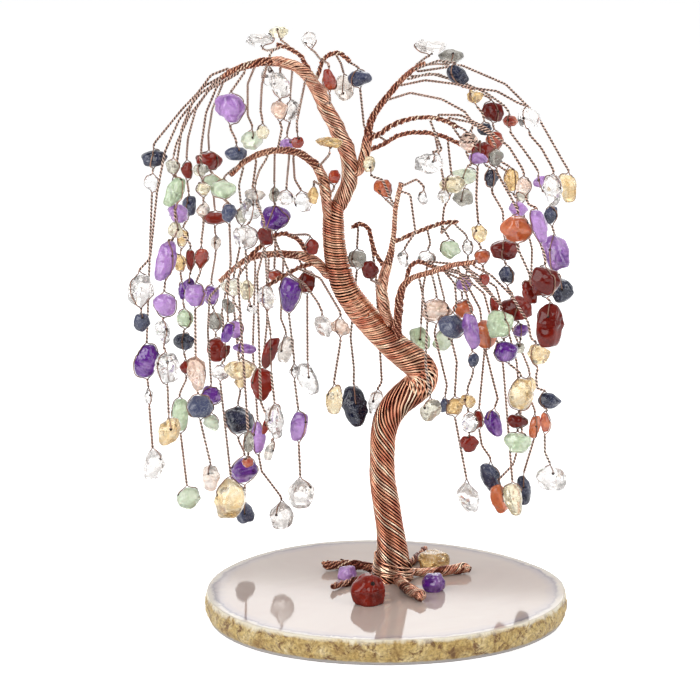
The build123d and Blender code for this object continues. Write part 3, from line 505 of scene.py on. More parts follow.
def stone_material(name, deep, pale, clear, veins=None, cloud=0.25, body=0.0, coat=0.4, shine=0.5):
    """Tumbled stone: its colour drifts between two tones, with clouds and veins inside."""
    material, tree, shader = new_material(name)
    place = place_of(tree)
    own_tone = maths(tree, "MULTIPLY_ADD", attribute(tree, "shade"), 0.44, -0.22)
    drifted = maths(tree, "ADD", noise_of(tree, place, 220, 4.0, 0.55, 0.8), own_tone)
    colour = ramp(tree, drifted, ((0.36, deep), (0.62, pale)))
    if veins:
        streaks = noise_of(tree, place, 330, 5.0, 0.65, 2.2)
        colour = mix(tree, ramp(tree, streaks, ((0.485, 0), (0.5, 1), (0.515, 0))), colour, veins)
    tree.links.new(colour, shader.inputs["Base Color"])
    set_inputs(shader, Roughness=0.07, IOR=1.54, Specular_IOR_Level=shine, Coat_Weight=coat,
               Coat_Roughness=0.05)
    if clear > 0:
        veil = noise_of(tree, place, 420, 4.0, 0.7, 0.8)
        through = ramp(tree, veil, ((0.45, clear), (0.7, clear - cloud)))
        tree.links.new(through, shader.inputs["Transmission Weight"])
    if body > 0:
        set_inputs(shader, Subsurface_Weight=body, Subsurface_Radius=(1.0, 0.7, 0.6),
                   Subsurface_Scale=0.0012)
    bump(tree, shader, noise_of(tree, place, 900, 3.0), 0.06, 0.0001)
    return material


# Each look also sets where the painted shade beside and between the wires begins, and how dark it goes.
copper_looks = {
    "copper_trunk": dict(dark=(0.42, 0.085, 0.05), mid=(0.60, 0.22, 0.12), bright=(0.88, 0.53, 0.35),
                         gold=(0.96, 0.82, 0.62), rough=0.2, metal=0.92, groove_shade_from=0.14, groove_shade_level=0.26),
    "copper_limb": dict(dark=(0.44, 0.11, 0.07), mid=(0.66, 0.30, 0.18), bright=(0.90, 0.57, 0.40),
                        gold=(0.96, 0.80, 0.60), rough=0.24, metal=0.8, groove_shade_from=0.22, groove_shade_level=0.36),
    "copper_twig": dict(dark=(0.38, 0.20, 0.14), mid=(0.78, 0.49, 0.38), bright=(0.94, 0.69, 0.58),
                        gold=(0.96, 0.82, 0.72), rough=0.3, metal=0.5, groove_shade_from=0.3, groove_shade_level=0.12),
    "copper_loop": dict(dark=(0.13, 0.07, 0.05), mid=(0.20, 0.11, 0.08), bright=(0.34, 0.19, 0.14),
                        gold=(0.5, 0.30, 0.22), rough=0.34, metal=0.8, groove_shade_from=0.1),
}
copper = {name: copper_material(name, **look) for name, look in copper_looks.items()}

stone_looks = {
    "amethyst": dict(deep=(0.13, 0.014, 0.30), pale=(0.60, 0.33, 0.76), clear=0.5, cloud=0.35),
    "citrine": dict(deep=(0.90, 0.63, 0.28), pale=(0.98, 0.91, 0.70), clear=0.75, cloud=0.35),
    "red_jasper": dict(deep=(0.12, 0.005, 0.003), pale=(0.25, 0.015, 0.006), clear=0.0,
                       veins=(0.22, 0.03, 0.015), coat=0.0, shine=0.3),
    "carnelian": dict(deep=(0.39, 0.031, 0.008), pale=(0.81, 0.22, 0.077), clear=0.35, body=0.1),
    "sodalite": dict(deep=(0.008, 0.011, 0.031), pale=(0.063, 0.073, 0.14), clear=0.0,
                     veins=(0.28, 0.29, 0.35), coat=0.1, shine=0.4),
    "green_aventurine": dict(deep=(0.65, 0.78, 0.54), pale=(0.84, 0.91, 0.74), clear=0.55, body=0.2),
    "clear_quartz": dict(deep=(0.90, 0.86, 0.83), pale=(0.985, 0.975, 0.965), clear=0.9, cloud=0.35),
    "rose_quartz": dict(deep=(0.91, 0.67, 0.54), pale=(0.98, 0.93, 0.87), clear=0.72, cloud=0.4),
    "smoky_quartz": dict(deep=(0.36, 0.34, 0.30), pale=(0.86, 0.83, 0.70), clear=0.7),
}
stone_materials = {stone: stone_material(stone, **look) for stone, look in stone_looks.items()}

# The drill holes' mouths are near-black: painted shade in place of the holes' depth.
hole_shade_material, hole_tree, hole_shader = new_material("painted_hole_shade")
hole_shade_colour = ramp(hole_tree, noise_of(hole_tree, place_of(hole_tree), 2500),
                   ((0.3, (0.015, 0.01, 0.01)), (0.8, (0.07, 0.05, 0.045))))
hole_tree.links.new(hole_shade_colour, hole_shader.inputs["Base Color"])
set_inputs(hole_shader, Roughness=0.95, Specular_IOR_Level=0.0)


# Places in the photograph's view
eye_forward = np.array([0, math.cos(eye_tilt), -math.sin(eye_tilt)])
eye_upward = np.array([0, math.sin(eye_tilt), math.cos(eye_tilt)])
eye = np.array([eye_aim_across * view_span / 100, 0, eye_aim_height]) - eye_forward * eye_distance


def seen_at(across, up, back):
    """The place that shows there in the photograph's view, that far back."""
    line = eye_forward * eye_distance + eye_upward * ((up - eye_aim_up) * view_span / 100)
    line = line + np.array([(across - eye_aim_across) * view_span / 100, 0, 0])
    return eye + line * ((back * view_span / 100 - eye[1]) / line[1])


def smooth_line(stations, count):
    """A smooth line through stations, each a row of any length."""
    rows = np.array(stations)
    padded = np.vstack([2 * rows[0] - rows[1], rows, 2 * rows[-1] - rows[-2]])
    out = []
    for t in np.linspace(0, len(rows) - 1.000001, count):
        i, u = int(t), t - int(t)
        p0, p1, p2, p3 = padded[i:i + 4]
        out.append(0.5 * (2 * p1 + (p2 - p0) * u + (2 * p0 - 5 * p1 + 4 * p2 - p3) * u * u
                          + (3 * p1 - p0 - 3 * p2 + p3) * u ** 3))
    return np.array(out)


# The trunk, wound in three runs that overlap at the elbow and where the close wrap starts
trunk_stations = [(*seen_at(*row[:3]), row[3] * view_span / 200) for row in trunk_rows]
trunk_all = smooth_line(trunk_stations, 700)
trunk_line, trunk_radius = resample(trunk_all[:, :3], trunk_all[:, 3], trunk_step, 4)
elbow = int(np.argmax(trunk_line[:, 0]))


def winding(first, last, out, count, stops):
    """Wires round a run of the trunk, moved out by a length, from (share of run, degrees) stops."""
    line, radius = trunk_line[first:last], trunk_radius[first:last] + out
    lay = np.interp(np.linspace(0, 1, len(line)), *zip(*stops))
    return laid_wires(line, radius, trunk_wire, np.radians(lay), count, soften=60)


lower_end = elbow + 8
upper_start = elbow - 14
wrap_start = upper_start + int((len(trunk_line) - upper_start) * 0.46)
upper_end = wrap_start + 20
lower = winding(0, lower_end, -0.12 * MM, 22,
                ((0, 62), (0.1, 52), (0.3, 42), (0.7, 37), (0.85, 28), (1, 24)))
upper = winding(upper_start, upper_end, -0.1 * MM, 16, ((0, 52), (0.2, 58), (0.6, 62), (1, 68)))
upper += winding(wrap_start, len(trunk_line), 0.1 * MM, 6, ((0, 74), (0.2, 77), (0.8, 77), (1, 70)))
heart = tube(trunk_line[::6], (trunk_radius - trunk_wire)[::6], 24)
build("trunk_wires_lower", lower, copper["copper_trunk"], ("trunk_lower_wires",))
build("trunk_wires_upper", upper, copper["copper_trunk"], ("trunk_upper_wires",))
# The heart under the trunk's wires is given full painted shade, so the gaps between the wires show dark.
build("trunk_heart", [(*heart, 0.0, 1.0)], copper["copper_trunk"], ("trunk_core",))

# The limbs and the roots: bundles of laid wire that open into twisted pairs where they thin out
pair_limit = 1.45 * MM
pair_lay = math.radians(24.0)
limb_lay = math.radians(36.0)
root_lay = math.radians(38.0)
fewest_steps = 12
opening_steps = 6
most_run_on = 3.5 * MM
closing_length = 1.8 * MM


def rooted(line, lines, limit):
    """A line run on from its first place into the nearest of the lines, when that is near enough."""
    best = None
    for limb, radius in lines:
        gaps = np.linalg.norm(limb - line[0], axis=1) - radius
        nearest = int(gaps.argmin())
        if best is None or gaps[nearest] < best[0]:
            best = (gaps[nearest], limb[nearest])
    gap, inside = best
    if gap > limit:
        return line
    steps = max(2, int(np.linalg.norm(inside - line[0]) / limb_step))
    added = inside + (line[0] - inside) * np.linspace(0, 1, steps, endpoint=False)[:, None]
    return np.vstack([added, line])


def bundle(name, line, radius, wire, lay):
    """The wires of a limb or a root, from its line and radius at even steps."""
    thick = radius > pair_limit
    parts = []
    if thick.sum() > fewest_steps:
        last = min(int(np.nonzero(thick)[0].max()) + opening_steps, len(line))
        widest = float(np.percentile(radius[:last], 60))
        count = max(5, wires_round(widest, wire, lay))
        parts += laid_wires(line[:last], radius[:last], wire, lay, count, 8, wander=0.3, lift=0.2)
    if (~thick).sum() > fewest_steps:
        first = max(int(np.nonzero(~thick)[0].min()) - opening_steps, 0)
        typical = float(np.percentile(radius[first:], 60))
        pair = 2 * twig_wire
        count = max(3, wires_round(max(typical, pair * 0.8), pair, pair_lay))
        parts += laid_wires(line[first:], radius[first:], pair, pair_lay, count, 6, wander=0.3,
                            lift=0.15, pair=True)
    # A core inside the bundle, given most of the painted shade, so the gaps between the wires show dark.
    inner = np.maximum(radius - wire * 0.9, 0.1 * MM)
    parts.append((*tube(line[3:-3:4], inner[3:-3:4], 10), 0.0, 0.7))
    build(name + "_wires", parts, copper["copper_limb"], (name,))


limb_lines = {"trunk": (trunk_line, trunk_radius)}
for name in LIMBS + ROOTS:
    (points, triangles), = islands(name)
    line, radius = centreline(points, triangles, 1.1 * MM)
    if name in ROOTS:
        first_off, last_off = np.linalg.norm(line[[0, -1]] - trunk_line[0], axis=1)
        backwards = first_off > last_off
    else:
        backwards = radius[:4].mean() < radius[-4:].mean()
    if backwards:
        line, radius = line[::-1], radius[::-1]
    limb_lines[name] = (line, radius)
# Each is run on into its neighbour, a root into the trunk alone, and all but the stem close at the tip
grown = {}
for name in LIMBS + ROOTS:
    line, radius = limb_lines[name]
    others = [limb_lines[other] for other in limb_lines if other != name]
    longer = rooted(line, others[:1] if name in ROOTS else others, most_run_on)
    radius = np.concatenate([np.full(len(longer) - len(line), radius[0]), radius])
    line = longer
    if name == "stem_limb":
        crown, crown_radius = limb_lines["crown_limb"]
        line = np.vstack([line[:-2], crown[3:7]])
        radius = np.concatenate([radius[:-2], crown_radius[3:7]])
    if name in ROOTS:
        wire, lay, step = root_wire, root_lay, root_step
    else:
        wire, lay, step = limb_wire, limb_lay, limb_step
    line, radius = resample(line, radius, step, 8)
    if name != "stem_limb":
        closing = min(int(closing_length / step), len(line) // 4)
        radius[-closing:] *= np.linspace(1, 0.62, closing) ** 0.7
    grown[name] = (line, radius)
    bundle(name, line, radius, wire, lay)
bundle_lines = [(trunk_line, trunk_radius)] + [grown[name] for name in LIMBS + ROOTS]

# Wires that leave the trunk's foot and run out along the roots, and the loose turns round the foot
foot = trunk_line[0]
foot_sides = 7
wires_a_root = 6
loose_turns = 9
foot_parts = []


def trunk_at(height):
    """The trunk's middle and radius at a height above its foot."""
    index = int(np.argmin(np.abs(trunk_line[:elbow, 2] - foot[2] - height)))
    return trunk_line[index], trunk_radius[index]


def beside(middle, reach, angle, height):
    """The place that lies in a level direction from a middle, at a height."""
    return middle[0] + reach * math.cos(angle), middle[1] + reach * math.sin(angle), height


def foot_wire(path, wire, step, smooth):
    """One wire at the foot, through the places of a path."""
    path = evened(path, step, smooth)
    outward = path - foot
    outward /= np.linalg.norm(outward, axis=1)[:, None]
    points, faces = tube(path, wire / 2, foot_sides)
    # Painted shade on each wire's flanks and on its side towards the foot's middle.
    groove_shade = groove_shade_of(points, path, foot_sides, wire / 2, outward)
    foot_parts.append((points, faces, rng.uniform(0.3, 1.0), groove_shade))


for name in ROOTS:
    line, radius = grown[name]
    clear_of = np.linalg.norm((line - foot)[:, :2], axis=1) > trunk_radius[0] + 0.4 * MM
    first = int(np.argmax(clear_of))
    azimuth = math.atan2(*(line[first] - foot)[[1, 0]])
    _, side, up = frames(line)
    for _ in range(wires_a_root):
        high = rng.uniform(3.0, 7.5) * MM
        sweep = rng.uniform(1.4, 2.3)
        path = []
        for t in np.linspace(0, 1, 26):
            above = high * (1 - t) ** 1.2
            middle, reach = trunk_at(above)
            angle = azimuth - sweep * (1 - t) + rng.normal(0, 0.004)
            reach = reach + (0.1 + 0.5 * t) * trunk_wire - (0.8 * MM if t == 0 else 0)
            height = max(foot[2] + above, line[first][2] + radius[first] * 0.6)
            path.append(beside(middle, reach, angle, height))
        last = first + int((len(line) - first) * rng.uniform(0.45, 0.95))
        roll = rng.uniform(0.2, 1.3) * math.pi
        for i in range(first + 5, last):
            turn = roll - math.tan(root_lay) * (i - first) * root_step / radius[first]
            off = (side[i] * math.cos(turn) + up[i] * math.sin(turn)) * (radius[i] + 0.08 * MM)
            path.append(tuple(line[i] + off))
        path = np.array(path)
        path[:, 2] = np.maximum(path[:, 2], slice_top + root_wire / 2)
        foot_wire(path, root_wire, root_step, 14)
for _ in range(loose_turns):
    begin, end = math.radians(rng.uniform(-215, -165)), math.radians(rng.uniform(-25, 25))
    from_up, to_up = rng.uniform(4.0, 9.5) * MM, rng.uniform(0.6, 4.5) * MM
    loose = rng.uniform(0.2, 1.3) * MM
    path = []
    for t in np.linspace(0, 1, 40):
        above = from_up + (to_up - from_up) * t
        middle, reach = trunk_at(above)
        slack = loose * math.sin(math.pi * t) ** 2 * t
        reach = reach + trunk_wire * 0.45 + slack - (1.0 * MM if t in (0, 1) else 0)
        path.append(beside(middle, reach, begin + (end - begin) * t, foot[2] + above))
    foot_wire(path, trunk_wire, limb_step, 4)
build("foot_wires", foot_parts, copper["copper_trunk"])


# The stones
def sphere(level):
    """Directions evenly round a sphere and the faces between them."""
    ball = bmesh.new()
    bmesh.ops.create_icosphere(ball, subdivisions=level, radius=1.0)
    ball.verts.ensure_lookup_table()
    points = np.array([v.co for v in ball.verts])
    faces = [[v.index for v in f.verts] for f in ball.faces]
    ball.free()
    return points / np.linalg.norm(points, axis=1)[:, None], faces


directions, direction_faces = sphere(4)
stone_sharpness = 9.0
stone_flats = 3
dents_across = 1.9
dent_depth = 0.13
end_fuller = 0.17


class Stone:
    """A tumbled stone: the planes of its CAD chip, met with rounded edges.

    It leans by about tumble radians, and is swell times as wide and rise times as tall as the chip.
    """

    def __init__(self, points, triangles, kind, tumble, swell, rise, hangs=True):
        self.kind, self.seed = kind, float(rng.random() * 50)
        self.points, self.triangles = points, triangles
        self.middle = (points.max(0) + points.min(0)) / 2
        self.axis, self.mouth, self.drilled = None, None, set()
        corners = points[triangles] - self.middle
        normals = np.cross(corners[:, 1] - corners[:, 0], corners[:, 2] - corners[:, 0])
        normals /= np.linalg.norm(normals, axis=1)[:, None]
        offsets = (corners[:, 0] * normals).sum(1)
        keep = {}
        for normal, offset in zip(normals, offsets):
            if offset > 0:
                keep[tuple(np.round(normal, 2))] = (normal, offset)
        self.normals = np.array([n for n, _ in keep.values()])
        self.offsets = np.array([o for _, o in keep.values()])
        height = float(points[:, 2].max() - points[:, 2].min())
        width = 2 * float(np.hypot(points[:, 0] - self.middle[0], points[:, 1] - self.middle[1]).max())
        self.stretch = np.ones(3)
        self.fat_end = rng.normal(size=3) if hangs else np.array([0, 0, -1.0])
        self.fat_end /= max(1.0, np.linalg.norm(self.fat_end))
        self.turn_over(tumble)
        self.cut_flats()
        shape = directions * self.reach(directions)[:, None]
        span = shape.max(0) - shape.min(0)
        self.stretch = np.array([width * swell / max(span[0], span[1])] * 2 + [height * rise / span[2]])
        self.middle = self.middle - (shape.max(0) + shape.min(0)) / 2 * self.stretch

    def turn_over(self, tumble):
        """Lean the stone a little way about a level direction."""
        angle, about = rng.normal(0, tumble), rng.uniform(0, math.pi)
        lean = Matrix.Rotation(angle, 3, Vector((math.cos(about), math.sin(about), 0)))
        self.normals = self.normals @ np.array(lean).T

    def cut_flats(self):
        """Flats that the tumbling left, cut a little below the stone's surface."""
        for _ in range(stone_flats):
            flat = rng.normal(size=3)
            flat /= np.linalg.norm(flat)
            support = float(((directions @ flat) * self.reach(directions)).max())
            self.normals = np.vstack([self.normals, flat])
            self.offsets = np.append(self.offsets, support * rng.uniform(0.74, 0.9))

    def reach(self, towards):
        """How far the surface lies from the middle in each direction."""
        squeezed = towards / self.stretch
        shrink = np.linalg.norm(squeezed, axis=1)
        towards = squeezed / shrink[:, None]
        facing = np.maximum(towards @ self.normals.T / self.offsets, 0)
        size = (facing ** stone_sharpness).sum(1) ** (1 / stone_sharpness)
        own = Vector((self.seed, 0, 0))
        dents = np.array([noise.noise(Vector(d * dents_across) + own) for d in towards])
        return (1 + dent_depth * dents + end_fuller * (towards @ self.fat_end)) / size / shrink

    def surface(self):
        """The stone's corners."""
        return self.middle + directions * self.reach(directions)[:, None]


stones = []
for kind in STONES:
    for points, triangles in islands(kind + "_chips"):
        stones.append(Stone(points, triangles, kind, tumble=0.28, swell=1.18, rise=1.1))
# The stones on the slice: kind, swell and shade
base_looks = {
    "base_chip_red_jasper": ("red_jasper", 1.06, 0.5),
    "base_chip_amethyst_left": ("amethyst", 1.15, 1.0),
    "base_chip_amethyst_right": ("amethyst", 1.2, 0.2),
    "base_chip_citrine": ("citrine", 1.0, 0.1),
}
base_stones = {}
for name, (kind, swell, _) in base_looks.items():
    (points, triangles), = islands(name)
    base_stones[name] = Stone(points, triangles, kind, tumble=0.12, swell=swell, rise=1.25, hangs=False)

for kind in STONES:
    parts = [(stone.surface(), direction_faces, rng.random()) for stone in stones if stone.kind == kind]
    build(kind + "_stones", parts, stone_materials[kind], (kind + "_chips",))
for name, stone in base_stones.items():
    surface = stone.surface()
    surface[:, 2] = np.maximum(surface[:, 2], stone.points[:, 2].min())
    parts = [(surface, direction_faces, base_looks[name][2])]
    build(name + "_stone", parts, stone_materials[stone.kind], (name,))

# The twigs: two fine wires twisted together, opened round each stone
twig_lay = math.atan(math.pi * twig_wire / twig_pitch)
knot_length = 0.9 * MM
grip = 1.3 * MM
limb_reach = 10 * MM
longest_stub = 8 * MM
hole_radius = 0.42 * MM
hole_depth = 0.25 * MM
hole_proud = 0.03 * MM
middles = np.array([s.middle for s in stones])
holes, loops = [], []


def gap_to(stone, place):
    """How far a place lies off the top, the foot or the side of a stone's CAD chip."""
    corners = stone.points[stone.triangles]
    return float(np.linalg.norm(np.concatenate([corners.mean(1), stone.points]) - place, axis=1).min())


def gripped(place):
    """The stone that a twig's end reaches, or none."""
    near = np.argsort(np.linalg.norm(middles - place, axis=1))[:4]
    gap, index = min((gap_to(stones[i], place), int(i)) for i in near)
    return stones[index] if gap < grip else None


def off_limbs(place):
    """How far a place lies off the trunk, the limbs and the roots."""
    gaps = [(np.linalg.norm(line - place, axis=1) - radius).min() for line, radius in bundle_lines]
    return float(min(gaps))


def slerp(a, b, t):
    """Directions turned evenly from a to b."""
    angle = math.acos(float(np.clip(a @ b, -1, 1)))
    return (np.sin((1 - t) * angle)[:, None] * a + np.sin(t * angle)[:, None] * b) / math.sin(angle)


def drill(stone, towards, radius, depth, proud, sides):
    """A near-black plug set into a stone's surface at a drill hole's mouth: painted shade standing in
    for the hole's depth.
    """
    surface = stone.middle + towards * float(stone.reach(towards[None, :])[0])
    rim = np.array([surface - towards * depth, surface + towards * proud])
    holes.append((*tube(rim, radius, sides), 0.5))


def loop_round(stone, knot, leaving):
    """Two legs of wire from the knot, over the stone and into the mouths of the hole across it."""
    if stone.axis is None:
        angle = rng.uniform(0, math.pi)
        flat = np.array([math.cos(angle), math.sin(angle), rng.uniform(-0.25, 0.25)])
        flat -= leaving * (flat @ leaving)
        stone.axis = flat / np.linalg.norm(flat)
        stone.mouth = leaving * 0.55
    out = knot - stone.middle
    top = out / np.linalg.norm(out)
    for sign in (-1, 1):
        mouth = stone.axis * sign + stone.mouth
        mouth /= np.linalg.norm(mouth)
        turn = slerp(top, mouth, np.linspace(0.12, 1, 14))
        turn /= np.linalg.norm(turn, axis=1)[:, None]
        off = stone.reach(turn) + loop_wire * 0.75
        off[-1] -= loop_wire * 1.6
        path = evened(np.vstack([knot, stone.middle + turn * off[:, None]]), loop_step, 3)
        loops.append((*tube(path, loop_wire / 2, 5), rng.uniform(0.0, 1.0)))
        if sign not in stone.drilled:
            stone.drilled.add(sign)
            drill(stone, mouth, hole_radius, hole_depth, hole_proud, 12)


# Short stubs far from every limb are left out, and a bare end is run on into a limb where one is near
for name in LIMBS:
    if name + "_twigs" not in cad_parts:
        continue
    parts = []
    for points, triangles in islands(name + "_twigs"):
        line = evened(centreline(points, triangles, 0.9 * MM)[0], twig_step, 3)
        adrift = any(gripped(end) is None and off_limbs(end) > limb_reach for end in (line[0], line[-1]))
        if adrift and twig_step * len(line) < longest_stub:
            continue
        for _ in range(2):
            line = line[::-1]
            stone = gripped(line[-1])
            if stone is None:
                line = evened(rooted(line[::-1], bundle_lines, limb_reach)[::-1], twig_step, 3)
                continue
            cut = min(int(knot_length / twig_step), len(line) // 3)
            knot = line[-1 - cut]
            leaving = knot - line[-1]
            leaving /= np.linalg.norm(leaving)
            loop_round(stone, knot, leaving)
            line = line[:len(line) - cut]
        if len(line) < 4:
            continue
        parts += laid_wires(line, twig_wire, twig_wire, twig_lay, 2, 9, wander=0.05, lift=0.05,
                            start_angle=float(rng.random() * 6))
    build(name + "_twisted", parts, copper["copper_twig"], (name + "_twigs",))
build("stone_loops", loops, copper["copper_loop"])
facing_eye = np.array([0.3, -0.75, 0.55])
facing_eye /= np.linalg.norm(facing_eye)
drill(base_stones["base_chip_red_jasper"], facing_eye, 0.6 * MM, 0.3 * MM, 0.04 * MM, 16)
build("painted_hole_shades", holes, hole_shade_material)

# The slice of agate
slice_steps = 288
slice_angles = np.linspace(-math.pi, math.pi, slice_steps, endpoint=False)
around = np.stack([np.cos(slice_angles), np.sin(slice_angles)], axis=1)
# How rough the rind is, and how near a corner's height counts as on a level
rind_rough = 0.9 * MM
same_level = 0.05 * MM
# Levels of the rind, in shares of the slice's thickness
rind_levels = (0.0, 0.03, 0.08, 0.14, 0.2, 0.27, 0.34, 0.41, 0.48, 0.55, 0.62, 0.69, 0.76, 0.83, 0.9,
               0.955, 0.985, 1.0)
# Rings of the top, in hundredths of the slice's width in from its edge
top_rings = (0.6, 1.2, 2.0, 3.0, 4.2, 5.6, 7.5, 10, 14, 20, 28, 38, 49.6)


def edge_at(level):
    """The slice's edge radius at even steps round, at a level of its CAD solid."""
    points = np.array([v.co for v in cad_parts["agate_slice"].data.vertices])
    ring = points[np.abs(points[:, 2] - level) < same_level]
    angle = np.arctan2(ring[:, 1], ring[:, 0])
    radius = np.hypot(ring[:, 0], ring[:, 1])
    outer = radius > 0.8 * radius.max()
    angle, radius = angle[outer], radius[outer]
    order = np.argsort(angle)
    return np.interp(slice_angles, angle[order], radius[order], period=2 * math.pi)


foot_edge, belly_edge, top_edge = edge_at(0), edge_at(slice_top / 2), edge_at(slice_top)


def edge_between(share):
    """The edge radius at a share of the slice's thickness."""
    if share < 0.5:
        return foot_edge + (belly_edge - foot_edge) * math.sin(share * math.pi)
    return top_edge + (belly_edge - top_edge) * math.sin(share * math.pi)


# The rind stands a little proud of the cut stone, most at the sides and at the point on the right
slice_fuller = (0.8 + 0.5 * around[:, 0] ** 2 + 0.7 * np.clip(around[:, 0] * 8 - 7, 0, 1)) * MM
rows, zones = [], []
for share in rind_levels:
    rough = rind_rough * (1.0 if 0.1 < share < 0.85 else 0.25)
    push = []
    for x, y in around:
        spot = Vector((x * 50, y * 50, share * 9))
        push.append(noise.noise(spot * 0.55) * 0.5 + noise.noise(spot * 1.6) * 0.35 - 0.45)
    radius = edge_between(share) + np.array(push) * rough + slice_fuller
    rows.append(np.column_stack([around * radius[:, None], np.full(slice_steps, share * slice_top)]))
    zones.append(np.full(slice_steps, share - 1))
inner = rows[-1][:, :2]
for ring in top_rings:
    rows.append(np.column_stack([inner * (1 - ring / 50), np.full(slice_steps, slice_top)]))
    zones.append(np.full(slice_steps, min(ring / 14, 1.0)))

# The agate's colours, by zone: below 0 down the rind, and from 0 at the edge to 1 inwards on the top
agate, agate_tree, agate_shader = new_material("agate")
place = place_of(agate_tree)
zone = attribute(agate_tree, "shade")
blotch = noise_of(agate_tree, place, 26, 4.0, 0.55, 0.5)
fine = noise_of(agate_tree, place, 420, 5.0, 0.7, 0.6)
coarse = noise_of(agate_tree, place, 150, 4.0, 0.65, 0.8)
banded = maths(agate_tree, "ADD", zone, maths(agate_tree, "MULTIPLY_ADD", coarse, 0.3, -0.15))
top = ramp(agate_tree, banded, (
    (0.0, (0.70, 0.63, 0.52)), (0.09, (0.60, 0.54, 0.48)), (0.15, (0.25, 0.22, 0.26)),
    (0.22, (0.41, 0.345, 0.35)), (0.4, (0.50, 0.40, 0.355))))
top = mix(agate_tree, ramp(agate_tree, blotch, ((0.35, 0), (0.7, 0.55))), top, (0.60, 0.52, 0.46))
crust = ramp(agate_tree, coarse, ((0.3, (0.34, 0.20, 0.06)), (0.42, (0.56, 0.40, 0.14)),
                                  (0.56, (0.66, 0.52, 0.24)), (0.75, (0.82, 0.72, 0.48))))
grain = ramp(agate_tree, noise_of(agate_tree, place, 1300, 2.0), ((0.3, (0.62, 0.55, 0.5)), (0.7, 1.2)))
crust = mix(agate_tree, 1.0, crust, grain, "MULTIPLY")
crust = mix(agate_tree, ramp(agate_tree, fine, ((0.38, 1), (0.48, 0))), crust, (0.18, 0.085, 0.03))
level = maths(agate_tree, "ADD", zone, 1.0)
ragged = maths(agate_tree, "MULTIPLY_ADD", coarse, 0.7, maths(agate_tree, "SUBTRACT", level, 0.35))
crust = mix(agate_tree, ramp(agate_tree, ragged, ((0.8, 0), (0.98, 0.9))), crust, (0.86, 0.80, 0.66))
crust = mix(agate_tree, ramp(agate_tree, level, ((0.1, 1), (0.16, 0))), crust, (0.46, 0.43, 0.42))
on_top = ramp(agate_tree, zone, ((0.0, 0), (0.001, 1)))
agate_tree.links.new(mix(agate_tree, on_top, crust, top), agate_shader.inputs["Base Color"])
dull = ramp(agate_tree, zone, ((0.0, 0.45), (0.01, 0.06)))
agate_tree.links.new(dull, agate_shader.inputs["Roughness"])
bump(agate_tree, agate_shader, mix(agate_tree, on_top, fine, (0.5, 0.5, 0.5)), 0.8, 0.0006)
set_inputs(agate_shader, Specular_IOR_Level=0.4, Subsurface_Weight=0.15,
           Subsurface_Radius=(1.0, 0.8, 0.6), Subsurface_Scale=0.002)
slice_part = (np.vstack(rows), ring_faces(len(rows), slice_steps), np.concatenate(zones))
build("agate_disc", [slice_part], agate, ("agate_slice",))

# The pad of glue under the foot, from rows of (share of its height, share of its radius)
glue, glue_tree, glue_shader = new_material("glue")
glue_colour = ramp(glue_tree, noise_of(glue_tree, place_of(glue_tree), 300),
                   ((0.3, (0.8, 0.76, 0.7)), (0.8, (0.92, 0.9, 0.86))))
glue_tree.links.new(glue_colour, glue_shader.inputs["Base Color"])
set_inputs(glue_shader, Transmission_Weight=0.6, Roughness=0.12)
glue_low, glue_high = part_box("foot_glue")
glue_middle = (np.array(glue_low) + np.array(glue_high)) / 2
glue_radius = (glue_high[0] - glue_low[0]) / 2
glue_profile = ((0, 1.0), (0.35, 0.99), (0.75, 0.93), (1.0, 0.8))
glue_sides = 40
glue_points = []
for height, size in glue_profile:
    for angle in np.linspace(0, 2 * math.pi, glue_sides, endpoint=False):
        wobble = 1 + 0.05 * math.sin(3 * angle) + 0.04 * math.sin(5 * angle + 1)
        glue_points.append(beside(glue_middle, glue_radius * size * wobble, angle,
                                  glue_low[2] + (glue_high[2] - glue_low[2]) * height))
glue_faces = ring_faces(len(glue_profile), glue_sides)
build("glue_pad", [(np.array(glue_points), glue_faces, 0.5)], glue, ("foot_glue",))


# The stage: a white floor, soft lamps and a plain light room
def seeing(tree):
    """Whether a ray comes from the camera, and whether from a shiny or clear surface: 1 or 0."""
    rays = node(tree, "ShaderNodeLightPath").outputs
    shown = maths(tree, "MAXIMUM", rays["Is Glossy Ray"], rays["Is Transmission Ray"])
    return rays["Is Camera Ray"], shown


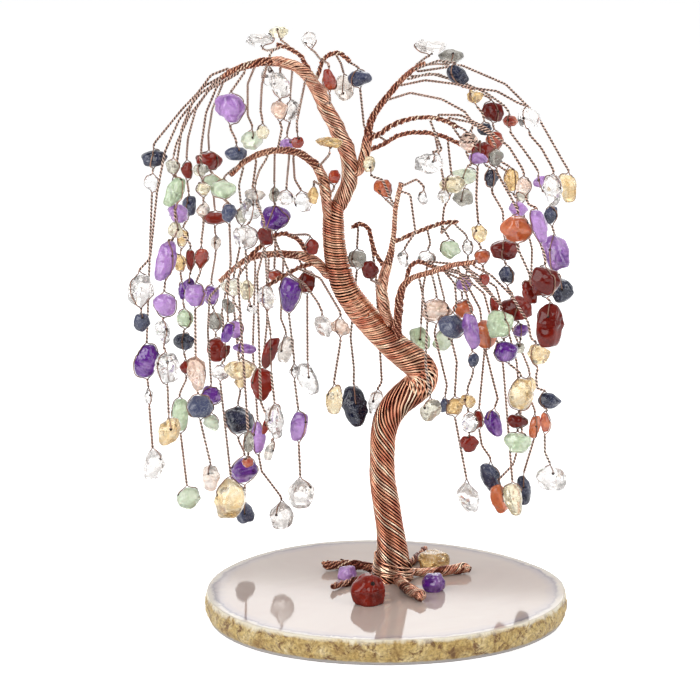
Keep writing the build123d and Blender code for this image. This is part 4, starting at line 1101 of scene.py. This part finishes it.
floor_half = 3.0
floor_glow = 0.66
floor_corners = [(x * floor_half, y * floor_half, 0) for x, y in ((-1, -1), (1, -1), (1, 1), (-1, 1))]
floor_mesh = bpy.data.meshes.new("floor")
floor_mesh.from_pydata(floor_corners, [], [(0, 1, 2, 3)])
floor = placed("floor", floor_mesh)
floor_material, floor_tree, floor_shader = new_material("floor")
set_inputs(floor_shader, Base_Color=(0.85, 0.85, 0.85, 1), Roughness=0.9, Emission_Color=(1, 1, 1, 1))
floor_seen = maths(floor_tree, "MAXIMUM", *seeing(floor_tree))
floor_tree.links.new(maths(floor_tree, "MULTIPLY", floor_seen, floor_glow),
                     floor_shader.inputs["Emission Strength"])
floor_mesh.materials.append(floor_material)
floor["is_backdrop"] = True

# The room is darker in front, and white where the camera looks and where shiny surfaces show its back
world = bpy.data.worlds.new("room")
bpy.context.scene.world = world
world.use_nodes = True
sky = world.node_tree
towards = node(sky, "ShaderNodeSeparateXYZ")
sky.links.new(node(sky, "ShaderNodeTexCoord").outputs["Generated"], towards.inputs[0])
ceiling = ramp(sky, towards.outputs["Z"], ((0.1, (0.07, 0.068, 0.065)), (0.5, 0.27), (1.0, 0.45)))
behind = ramp(sky, towards.outputs["Y"], ((0.1, 0), (0.6, 1)))
room = sky.nodes["Background"]
set_inputs(room, Strength=1.0)
sky.links.new(mix(sky, behind, ceiling, (0.45, 0.45, 0.45)), room.inputs["Color"])
white = node(sky, "ShaderNodeBackground", Color=(1, 1, 1, 1), Strength=1.0)
from_camera, from_surface = seeing(sky)
blend = node(sky, "ShaderNodeMixShader")
sky.links.new(maths(sky, "MULTIPLY_ADD", from_surface, behind, from_camera), blend.inputs[0])
sky.links.new(room.outputs[0], blend.inputs[1])
sky.links.new(white.outputs[0], blend.inputs[2])
sky.links.new(blend.outputs[0], sky.nodes["World Output"].inputs["Surface"])

aim = Vector((-0.005, 0, 0.08))
for name, spot, size, power in (
    ("lamp_left", (-0.5, -0.45, 0.42), 0.6, 4.0),
    ("lamp_right", (0.55, -0.3, 0.35), 0.5, 2.2),
    ("lamp_top", (0.05, 0.1, 0.7), 0.4, 0.8),
    ("lamp_back", (0.1, 0.6, 0.4), 0.4, 0.8),
):
    lamp = bpy.data.lights.new(name, "AREA")
    lamp.size = size
    lamp.energy = power
    lamp_object = placed(name, lamp)
    lamp_object.location = spot
    lamp_object.rotation_euler = (aim - Vector(spot)).to_track_quat("-Z", "Y").to_euler()

camera_data = bpy.data.cameras.new("camera")
camera_data.lens = eye_lens
camera = placed("camera", camera_data)
camera.location = tuple(eye)
camera.rotation_euler = (math.pi / 2 - eye_tilt, 0, 0)
bpy.context.scene.camera = camera
bpy.context.scene.view_settings.view_transform = "Standard"

low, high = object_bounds()
